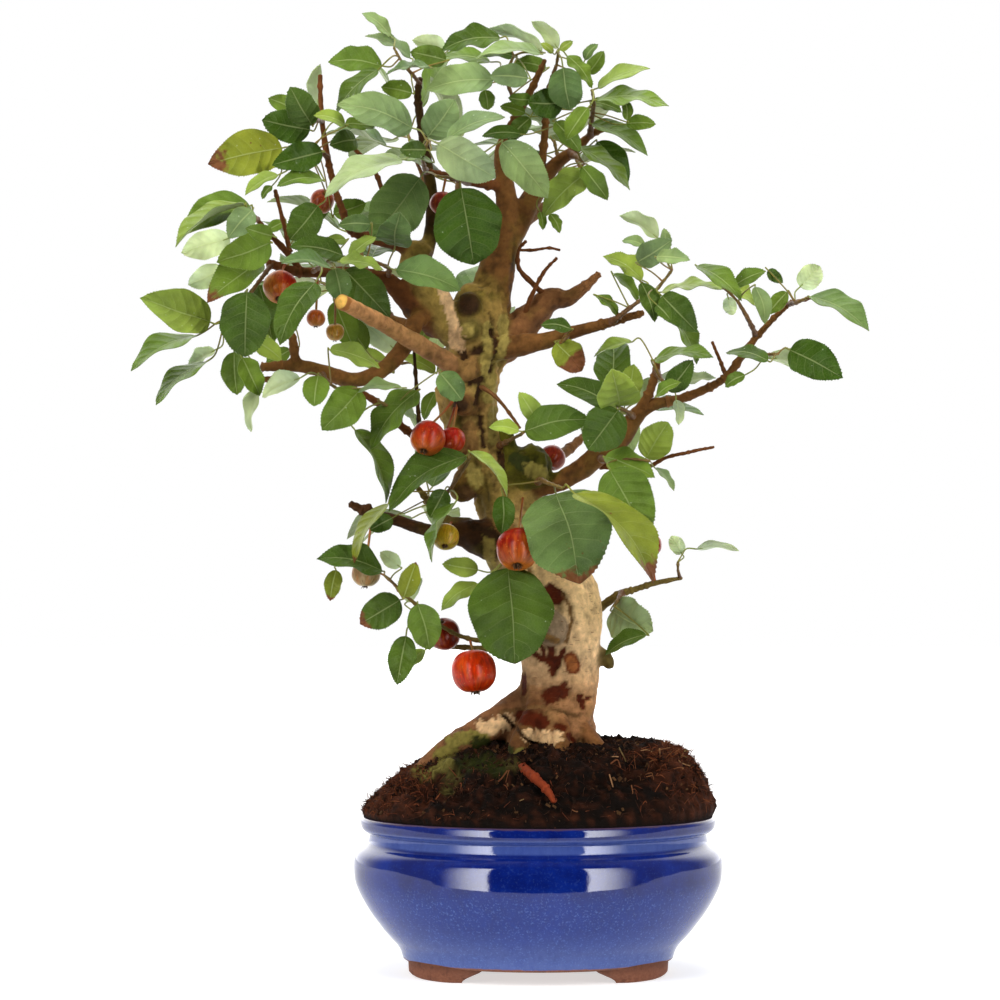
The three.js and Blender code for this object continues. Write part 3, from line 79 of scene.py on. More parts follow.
# The part stands over the middle of its own box, so the pot's axis lies off the origin.
pot_low, pot_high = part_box("pot")
POT_AXIS = np.array([(pot_low[0] + pot_high[0]) / 2, (pot_low[1] + pot_high[1]) / 2, 0]) / MM


def at(place):
    """The point in mm at a column, row and depth."""
    column, row, depth = place[:3]
    if depth < 0:
        away = math.hypot(column - FAN_COLUMN, min(0, row - FAN_ROW)) / FAN_REACH
        depth *= 1 + FAN_GAIN * away * away
    spread = GRID * (1 + depth / EYE_DISTANCE)
    return np.array([
        (EYE_COLUMN - AXIS_COLUMN) * GRID + (column - EYE_COLUMN) * spread,
        depth,
        (TABLE_ROW - EYE_ROW) * GRID + (EYE_ROW - row) * spread,
    ])


def seen_at(points):
    """The columns and rows at which points are seen."""
    spread = GRID * (1 + points[:, 1] / EYE_DISTANCE)
    columns = EYE_COLUMN + (points[:, 0] - (EYE_COLUMN - AXIS_COLUMN) * GRID) / spread
    rows = EYE_ROW - (points[:, 2] - (TABLE_ROW - EYE_ROW) * GRID) / spread
    return columns, rows


def unit(vector):
    return vector / np.linalg.norm(vector)


def chance(seed):
    """The same seeded draws as the part's."""
    state = seed
    full = 0xFFFFFFFF

    def draw():
        nonlocal state
        state = (state + 0x6D2B79F5) & full
        mixed = ((state ^ (state >> 15)) * (1 | state)) & full
        mixed = ((mixed + ((mixed ^ (mixed >> 7)) * (61 | mixed))) & full) ^ mixed
        return ((mixed ^ (mixed >> 14)) & full) / 4294967296

    return draw


def linear(red, green, blue):
    """A colour given as it looks on a screen, for the shaders."""
    shares = (value / 255 for value in (red, green, blue))
    return tuple(((share + 0.055) / 1.055) ** 2.4 if share > 0.04 else share / 12.92 for share in shares)


def paint(red, green, blue):
    """The same colour as an array, for the points' tints."""
    return np.array(linear(red, green, blue))


def ease(share):
    """A share from 0 to 1 that starts and ends level."""
    return share * share * (3 - 2 * share)


def round_angles(count):
    return np.arange(count) / count * TURN


def oval(radius, height, angles):
    """Points round the pot's axis; the pot is narrower from front to back."""
    return np.stack([radius * np.cos(angles), radius * POT_DEPTH_RATIO * np.sin(angles),
                     height * np.ones_like(angles)], -1)


def fractal(points, size, octaves=3):
    """Smooth noise between about -1 and 1 at each point, with features of that size."""
    return np.array([noise.fractal(Vector(p / size), 1.0, 2.0, octaves) for p in points])


# ------------------------------------------------------------------ meshes
class Shape:
    """Points in mm and faces, with what the materials read from each point."""

    def __init__(self):
        self.points, self.faces, self.slots = [], [], []
        self.tints, self.marks, self.wears = [], [], []
        self.count = 0

    def add(self, points, faces, slot, tint=(1, 1, 1), mark=(0, 0, 0), wear=0.0):
        points = np.asarray(points, float).reshape(-1, 3)
        amount = len(points)
        self.points.append(points)
        self.close(faces, self.count, slot)
        self.tints.append(np.broadcast_to(np.asarray(tint, float), (amount, 3)))
        self.marks.append(np.broadcast_to(np.asarray(mark, float), (amount, 3)))
        self.wears.append(np.broadcast_to(np.asarray(wear, float), (amount,)))
        self.count += amount

    def close(self, faces, first, slot):
        """Faces over points that are numbered from the first one."""
        moved = [[int(corner) + first for corner in face] for face in faces]
        self.faces += moved
        self.slots += [slot] * len(moved)


def piece(name, shape, materials, nodes):
    """A finished piece of the scene, in place of those nodes of the part."""
    mesh = bpy.data.meshes.new(name)
    points = (np.concatenate(shape.points) + POT_AXIS) * MM
    mesh.from_pydata(points.tolist(), [], shape.faces)
    for material in materials:
        mesh.materials.append(material)
    mesh.polygons.foreach_set("material_index", shape.slots)
    mesh.polygons.foreach_set("use_smooth", np.ones(len(mesh.polygons), bool))
    mesh.set_sharp_from_angle(angle=SHARP_ANGLE)
    for label, blocks in (("tint", shape.tints), ("mark", shape.marks)):
        attribute = mesh.attributes.new(label, "FLOAT_VECTOR", "POINT")
        attribute.data.foreach_set("vector", np.concatenate(blocks).astype(np.float32).ravel())
    attribute = mesh.attributes.new("wear", "FLOAT", "POINT")
    attribute.data.foreach_set("value", np.concatenate(shape.wears).astype(np.float32))
    obj = bpy.data.objects.new(name, mesh)
    bpy.context.scene.collection.objects.link(obj)
    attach(obj, "root")
    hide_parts(*nodes)


def solid_object(name, points, faces):
    """An object to be remeshed or cut."""
    mesh = bpy.data.meshes.new(name)
    mesh.from_pydata(points.tolist(), [], [list(face) for face in faces])
    obj = bpy.data.objects.new(name, mesh)
    bpy.context.scene.collection.objects.link(obj)
    return obj


def read_vectors(items, key, kind=float):
    values = np.zeros(len(items) * 3, kind)
    items.foreach_get(key, values)
    return values.reshape(-1, 3)


def settled(obj, *tools):
    """An object's points, normals and faces with its modifiers applied; it and its tools are then removed."""
    bpy.context.view_layer.update()
    mesh = obj.evaluated_get(bpy.context.evaluated_depsgraph_get()).to_mesh()
    points, normals = read_vectors(mesh.vertices, "co"), read_vectors(mesh.vertices, "normal")
    faces = [tuple(face.vertices) for face in mesh.polygons]
    obj.to_mesh_clear()
    for done in (obj, *tools):
        bpy.data.objects.remove(done)
    return points, normals, faces


def grid_faces(rows, columns, closed=False):
    """Quads over a grid of points, row by row; closed joins the last column to the first."""
    i, j = np.meshgrid(np.arange(rows - 1), np.arange(columns if closed else columns - 1), indexing="ij")
    i, j = i.ravel(), j.ravel()
    k = (j + 1) % columns
    return np.stack([i * columns + j, i * columns + k, (i + 1) * columns + k, (i + 1) * columns + j], 1)


def smooth_line(points, places):
    """Points on a smooth curve through points, at places from 0 to 1."""
    points = np.asarray(points, float)
    last = len(points) - 1
    place = np.minimum(np.asarray(places, float) * last, last - 1e-6)
    i = np.floor(place).astype(int)
    f = (place - i)[:, None]
    a, b, c, d = (points[np.clip(i + k, 0, last)] for k in (-1, 0, 1, 2))
    return ((-f + 2 * f**2 - f**3) * a + (2 - 5 * f**2 + 3 * f**3) * b
            + (f + 4 * f**2 - 3 * f**3) * c + (f**3 - f**2) * d) / 2


def limb_line(route, spacing, fewest=5):
    """Centres along a stem or limb, the radii and shares of its length there, and its length in mm."""
    points = np.array([at(place) for place in route])
    length = np.linalg.norm(np.diff(points, axis=0), axis=1).sum()
    t = np.linspace(0, 1, max(fewest, int(length / spacing)))
    widths = np.interp(t * (len(route) - 1), np.arange(len(route)), [place[3] for place in route])
    return smooth_line(points, t), widths / 2 * GRID, t, length


def frames_along(centres):
    """Directions along a line of centres, and two square to them that turn as little as they can."""
    ahead = np.gradient(centres, axis=0)
    ahead /= np.linalg.norm(ahead, axis=1)[:, None]
    normal = np.array([1.0, 0, 0]) if abs(ahead[0][1]) > 0.9 else FRONT
    normals = []
    for direction in ahead:
        normal = unit(normal - direction * (normal @ direction))
        normals.append(normal)
    normals = np.array(normals)
    return ahead, normals, np.cross(ahead, normals)


def tube(shape, centres, radii, sides, slot=0, tint=(1, 1, 1), rough=0.0, swell=None, squash=1.0):
    """A closed tube with a radius for each centre. rough lifts its skin by as many mm."""
    centres = np.asarray(centres, float)
    radii = np.asarray(radii, float)
    ahead, normals, others = frames_along(centres)
    angles = round_angles(sides)
    reach = radii[:, None] * (1 + (swell(angles) if swell else np.zeros((len(centres), sides))))
    rings = (centres[:, None] + normals[:, None] * (np.cos(angles) * reach)[..., None]
             + others[:, None] * (np.sin(angles) * reach * squash)[..., None])
    points = rings.reshape(-1, 3)
    if rough:
        out = (rings - centres[:, None]).reshape(-1, 3)
        out /= np.maximum(np.linalg.norm(out, axis=1), 1e-6)[:, None]
        points = points + out * (fractal(points, 3.5) * rough)[:, None]
    ends = np.array([centres[0] - ahead[0] * radii[0] * 0.5, centres[-1] + ahead[-1] * radii[-1] * 0.5])
    faces = grid_faces(len(centres), sides, closed=True)
    total = len(points)
    last = total - sides
    side = np.arange(sides)
    turn = (side + 1) % sides
    caps = np.concatenate([
        np.stack([np.full(sides, total), turn, side], 1),
        np.stack([np.full(sides, total + 1), last + side, last + turn], 1)])
    tints = np.asarray(tint, float)
    if tints.ndim == 2:
        tints = np.concatenate([np.repeat(tints, sides, axis=0), tints[:1], tints[-1:]])
    base = shape.count
    shape.add(np.concatenate([points, ends]), faces, slot, tints)
    shape.close(caps, base, slot)


# ------------------------------------------------------------------ materials
class Finish:
    """A procedural material, made node by node round one Principled shader."""

    def __init__(self, name):
        self.material = bpy.data.materials.new(name)
        self.material.use_nodes = True
        self.tree = self.material.node_tree
        self.shader = self.tree.nodes["Principled BSDF"]
        self.place = self.node("ShaderNodeTexCoord").outputs["Object"]

    def node(self, kind, sockets=None, **settings):
        node = self.tree.nodes.new(kind)
        for key, value in settings.items():
            setattr(node, key, value)
        for key, value in (sockets or {}).items():
            if isinstance(value, bpy.types.NodeSocket):
                self.tree.links.new(value, node.inputs[key])
            else:
                node.inputs[key].default_value = value
        return node

    def math(self, operation, a, b=0.0, c=0.0):
        return self.node("ShaderNodeMath", {0: a, 1: b, 2: c}, operation=operation).outputs[0]

    def times(self, a, b):
        return self.math("MULTIPLY", a, b)

    def less(self, a, b):
        return self.math("SUBTRACT", a, b)

    def rest(self, share):
        return self.less(1.0, share)

    def line(self, value, slope, start):
        return self.math("MULTIPLY_ADD", value, slope, start)

    def blend(self, share, a, b):
        return self.node("ShaderNodeMix", {0: share, 2: a, 3: b}).outputs[0]

    def read(self, label, output="Vector"):
        return self.node("ShaderNodeAttribute", attribute_name=label).outputs[output]

    def split(self, vector):
        return self.node("ShaderNodeSeparateXYZ", {0: vector}).outputs

    def stretched(self, scale):
        return self.node("ShaderNodeVectorMath", {0: self.place, 1: scale}, operation="MULTIPLY").outputs[0]

    def noise(self, scale, detail=3.0, where=None, rough=0.55):
        sockets = {"Vector": where or self.place, "Scale": scale, "Detail": detail, "Roughness": rough}
        return self.node("ShaderNodeTexNoise", sockets).outputs["Fac"]

    def cells(self, scale, feature="F1"):
        sockets = {"Vector": self.place, "Scale": scale}
        return self.node("ShaderNodeTexVoronoi", sockets, feature=feature).outputs["Distance"]

    def spots(self, scale, small, large):
        """1 in scattered spots, 0 between them."""
        return self.rest(self.step(self.cells(scale), small, large))

    def step(self, value, low, high):
        """0 below low, 1 above high, smooth between."""
        sockets = {"Value": value, "From Min": low, "From Max": high}
        return self.node("ShaderNodeMapRange", sockets, interpolation_type="SMOOTHSTEP").outputs[0]

    def mix(self, share, a, b, blend="MIX"):
        node = self.node("ShaderNodeMix", data_type="RGBA", blend_type=blend)
        for index, value in ((0, share), (6, a), (7, b)):
            if isinstance(value, bpy.types.NodeSocket):
                self.tree.links.new(value, node.inputs[index])
            elif index == 0:
                node.inputs[0].default_value = value
            else:
                node.inputs[index].default_value = (*value, 1)
        return node.outputs[2]

    def toned(self, colour, other):
        return self.mix(1.0, colour, other, "MULTIPLY")

    def shaded(self, colour, value):
        grey = self.node("ShaderNodeCombineXYZ", {0: value, 1: value, 2: value}).outputs[0]
        return self.toned(colour, grey)

    def over(self, colour, mask, amount, other):
        """The other colour over this one, by an amount where the mask is 1."""
        return self.mix(self.times(mask, amount), colour, other)

    def bump(self, height, strength, distance):
        sockets = {"Height": height, "Strength": strength, "Distance": distance}
        return self.node("ShaderNodeBump", sockets).outputs[0]

    def finish(self, sockets):
        for key, value in sockets.items():
            if isinstance(value, bpy.types.NodeSocket):
                self.tree.links.new(value, self.shader.inputs[key])
            else:
                self.shader.inputs[key].default_value = value
        return self.material


# ------------------------------------------------------------------ what the photograph shows
PLAIN = 0.03  # how knobbly most limbs are


def limb(skin, bumps, route):
    """A limb: its bark, how knobbly it is, and its column, row, depth and width at places along it."""
    return {"skin": skin, "bumps": bumps, "route": route}


def placed(name, depth, stem, leaves):
    """A spray with leaves placed one by one: base, tip, width seen, tone, and for some their own depth."""
    return {"name": "spray_" + name, "depth": depth, "stem": stem, "leaves": leaves, "ruled": 0}


def ruled(name, count, seed, stem):
    """A spray with that many leaves set by rule."""
    return {"name": "spray_" + name, "seed": seed, "stem": stem, "leaves": [], "ruled": count}


def crabapple(name, centre, radius, root, sunny, shaded):
    """An apple, where its stalk hangs from, and its skin on the sunny and on the shaded side."""
    return {"name": "fruit_" + name, "centre": centre, "radius": radius, "root": root,
            "sunny": sunny, "shaded": shaded}


WOOD = [
    limb("trunk", 0.06, [[548, 772, 0, 84], [548, 745, 0, 95], [552, 715, 0, 85], [557, 690, 0, 76],
        [560, 660, 0, 79], [563, 640, 0, 78], [564, 620, 0, 76], [558, 600, 0, 80], [545, 575, 1, 85],
        [525, 545, 0, 82], [515, 515, 0, 68], [505, 490, 0, 62], [485, 460, 2, 58], [472, 430, 4, 54],
        [468, 400, 4, 55], [472, 370, 2, 60], [478, 340, 2, 62], [478, 315, 2, 60], [485, 292, 3, 44]]),
    limb("tan", 0.06, [  # left root
        [545, 690, 2, 34], [515, 712, -4, 36], [488, 729, -8, 33], [462, 742, -10, 28],
        [436, 757, -8, 20], [412, 778, -6, 12]]),
    limb("root", PLAIN, [[540, 705, -14, 26], [528, 728, -24, 24], [518, 746, -32, 18],
        [512, 766, -38, 10]]),
    limb("root", PLAIN, [[560, 715, -14, 22], [562, 738, -24, 18], [560, 752, -32, 12],
        [558, 768, -36, 7]]),
    limb("root", PLAIN, [[575, 720, -8, 22], [590, 738, -14, 18], [604, 752, -18, 11],
        [612, 768, -20, 6]]),
    limb("root", PLAIN, [[560, 715, 12, 30], [575, 738, 26, 22], [590, 756, 38, 12]]),
    limb("root", PLAIN, [[535, 715, 12, 28], [510, 738, 26, 22], [490, 758, 36, 12]]),
    limb("red_root", PLAIN, [[520, 764, -36, 12], [524, 769, -52, 10], [534, 777, -63, 10],
        [546, 789, -65, 9], [555, 802, -67, 5]]),
    limb("grey", PLAIN, [[595, 655, -2, 22], [606, 659, -2, 16], [611, 668, -2, 8]]),  # spur
    limb("pink", PLAIN, [[550, 628, -14, 34], [549, 628, -24, 28]]),  # knot
    limb("moss", 0.09, [[505, 470, -2, 42], [528, 467, -12, 44], [545, 466, -12, 36]]),
    limb("burl", 0.1, [[480, 470, -4, 34], [466, 488, -12, 30], [462, 498, -14, 20]]),
    limb("moss", PLAIN, [[510, 496, -12, 18], [512, 460, -15, 15], [505, 430, -12, 14]]),  # old stem
    limb("dark", PLAIN, [[475, 306, -6, 30], [466, 304, -15, 22]]),
    limb("grey", PLAIN, [[474, 330, -8, 30], [467, 330, -16, 22]]),
    limb("pink", PLAIN, [[474, 370, -8, 28], [465, 370, -17, 20]]),
    limb("pink", PLAIN, [[470, 405, -6, 28], [460, 405, -15, 18]]),
    limb("pale", 0.05, [  # left arm
        [474, 358, 0, 40], [462, 340, -2, 37], [445, 318, -6, 34], [428, 290, -8, 34],
        [415, 265, -8, 31], [422, 245, -8, 24]]),
    limb("red", PLAIN, [  # its branch to the left and the tall dark shoot
        [424, 256, -8, 18], [400, 246, -10, 13], [370, 238, -12, 11], [350, 230, -13, 9],
        [343, 212, -13, 8], [335, 188, -13, 7], [328, 160, -12, 7], [322, 120, -10, 6],
        [320, 75, -8, 5]]),
    limb("red", PLAIN, [[418, 284, -8, 18], [400, 286, -12, 13], [385, 277, -14, 12],
        [350, 272, -16, 11], [300, 272, -16, 11], [268, 263, -18, 9]]),
    limb("red", PLAIN, [[300, 270, -16, 8], [289, 255, -16, 7], [266, 230, -18, 6],
        [248, 209, -20, 4]]),
    limb("red", PLAIN, [[290, 252, -16, 6], [284, 225, -14, 5], [275, 190, -12, 4]]),
    limb("red", PLAIN, [[392, 245, -10, 7], [378, 178, -8, 5], [350, 145, -10, 4]]),
    limb("dark", PLAIN, [[422, 258, -6, 20], [430, 236, -4, 14], [432, 200, -2, 13], [425, 150, -4, 11],
        [418, 100, -6, 8], [420, 78, -6, 6]]),
    limb("bark", 0.04, [  # right arm
        [484, 312, 3, 48], [490, 298, 4, 42], [497, 270, 6, 37], [505, 240, 8, 31], [507, 210, 8, 24],
        [505, 185, 8, 19], [502, 150, 6, 15], [515, 120, 4, 10], [532, 88, 2, 8], [545, 60, 0, 5]]),
    limb("bark", PLAIN, [[506, 250, 8, 24], [522, 215, 12, 24], [537, 190, 16, 20], [555, 165, 18, 14],
        [575, 150, 18, 11], [592, 134, 16, 8], [612, 126, 14, 6]]),
    limb("bark", PLAIN, [[540, 185, 16, 10], [545, 130, 14, 8], [548, 95, 10, 6], [556, 66, 6, 4]]),
    limb("red", PLAIN, [[502, 186, 8, 12], [470, 182, -4, 9], [445, 175, -10, 7], [430, 171, -14, 5]]),
    limb("sawn", PLAIN, [  # the sawn branch
        [474, 374, -4, 22], [456, 367, -14, 20], [420, 345, -30, 18], [380, 322, -46, 16],
        [344, 303, -60, 15]]),
    limb("bark", 0.05, [  # the curved branch
        [430, 312, -8, 20], [416, 322, -16, 18], [405, 345, -24, 17], [385, 368, -28, 16],
        [355, 380, -28, 15], [325, 372, -27, 14], [300, 366, -26, 13], [262, 367, -26, 9]]),
    limb("bark", PLAIN, [[296, 366, -26, 11], [294, 350, -28, 10], [292, 334, -29, 8]]),
    limb("bark", PLAIN, [[292, 366, -26, 10], [278, 378, -26, 8], [262, 379, -26, 5]]),
    limb("red", PLAIN, [[462, 452, -6, 12], [412, 434, -20, 9], [378, 403, -22, 8], [345, 385, -18, 7],
        [330, 380, -14, 5]]),
    limb("dark", PLAIN, [[420, 436, -19, 6], [418, 410, -14, 5], [414, 350, -16, 3]]),
    limb("grey", PLAIN, [[470, 524, -8, 14], [447, 520, -16, 10], [430, 503, -20, 8],
        [412, 480, -20, 4]]),
    limb("stub", 0.06, [  # left stub
        [515, 546, -4, 44], [490, 540, -10, 42], [468, 534, -14, 32], [445, 535, -14, 15],
        [420, 528, -13, 13], [395, 520, -12, 12], [372, 514, -12, 12], [350, 504, -12, 8]]),
    limb("stub", PLAIN, [[372, 514, -12, 12], [366, 506, -14, 8]]),
    limb("pink", 0.05, [  # right stub
        [490, 352, 4, 38], [512, 338, 6, 36], [530, 318, 8, 30], [550, 300, 8, 25], [566, 299, 8, 18],
        [582, 289, 8, 12], [599, 274, 8, 7]]),
    limb("red", PLAIN, [[522, 322, 4, 6], [531, 297, -2, 5], [544, 272, -4, 4], [557, 258, -4, 3]]),
    limb("red", PLAIN, [[546, 296, 6, 7], [533, 284, 2, 6], [519, 268, 0, 5], [519, 250, -2, 4],
        [526, 241, -3, 4]]),
    limb("bark", PLAIN, [  # right branch
        [486, 350, -8, 28], [512, 346, -14, 24], [540, 342, -16, 18], [570, 333, -18, 14],
        [600, 325, -20, 11], [625, 318, -22, 9], [643, 313, -24, 7]]),
    limb("bark", 0.05, [  # long right branch
        [500, 492, 0, 26], [520, 490, -6, 20], [545, 487, -10, 18], [575, 473, -14, 21],
        [600, 455, -16, 20], [620, 440, -18, 19], [635, 417, -18, 17], [652, 405, -18, 13],
        [680, 399, -18, 10], [710, 387, -18, 9], [728, 375, -18, 9], [745, 352, -17, 8],
        [760, 333, -16, 7], [780, 312, -15, 6], [792, 301, -15, 5]]),
    limb("bark", PLAIN, [[636, 416, -18, 12], [648, 395, -20, 10], [655, 375, -20, 9],
        [658, 358, -20, 6]]),
    limb("red", PLAIN, [[600, 466, -12, 8], [645, 467, -16, 5], [665, 458, -18, 4], [690, 452, -20, 4],
        [714, 447, -20, 3]]),
    limb("red", PLAIN, [[757, 337, -16, 5], [748, 320, -14, 4], [738, 302, -14, 3]]),
    limb("red", PLAIN, [[790, 303, -15, 5], [812, 298, -15, 3]]),
    limb("red", PLAIN, [[726, 376, -18, 5], [719, 358, -14, 4], [712, 342, -12, 3]]),
    limb("grey", PLAIN, [[585, 612, 6, 14], [600, 607, 6, 10], [620, 594, 5, 9], [636, 589, 5, 7],
        [655, 583, 5, 6], [682, 578, 5, 4]]),
    limb("pink", PLAIN, [[476, 384, -8, 6], [497, 398, -16, 4], [520, 428, -18, 3]]),
    limb("grey", PLAIN, [[545, 650, -10, 7], [515, 645, -24, 6], [467, 638, -30, 5], [440, 625, -30, 4],
        [418, 606, -28, 4], [398, 590, -26, 3]]),
    limb("grey", PLAIN, [[545, 652, 0, 8], [510, 650, -8, 7], [475, 648, -10, 6], [432, 645, -8, 4]]),
    # branches that spread behind the trunk, and one low to the front
    limb("bark", PLAIN, [[478, 400, 4, 26], [486, 385, 28, 18], [492, 366, 58, 13], [480, 345, 92, 9],
        [470, 330, 118, 5]]),
    limb("bark", PLAIN, [[500, 262, 8, 24], [480, 240, 34, 16], [452, 215, 62, 11], [430, 190, 88, 7],
        [420, 170, 108, 4]]),
    limb("bark", PLAIN, [[508, 232, 8, 20], [534, 214, 36, 14], [560, 199, 66, 10], [582, 184, 92, 5]]),
    limb("bark", PLAIN, [[512, 480, 4, 24], [535, 466, 32, 16], [565, 452, 64, 12], [590, 430, 92, 6]]),
    limb("bark", PLAIN, [[478, 345, 6, 24], [440, 332, 32, 15], [392, 320, 56, 11], [350, 300, 76, 6]]),
    limb("bark", PLAIN, [[520, 555, 8, 20], [498, 548, 34, 12], [470, 540, 58, 8], [448, 524, 76, 5]]),
    # the swollen root of the upper left branch, and the dead twig's side shoot
    limb("red", PLAIN, [[440, 326, -2, 32], [416, 309, -8, 26], [399, 293, -12, 18],
        [386, 280, -14, 11]]),
    limb("red", PLAIN, [[519, 250, -2, 4], [534, 250, -2, 3], [548, 248, -2, 3], [560, 250, -2, 3]]),
]
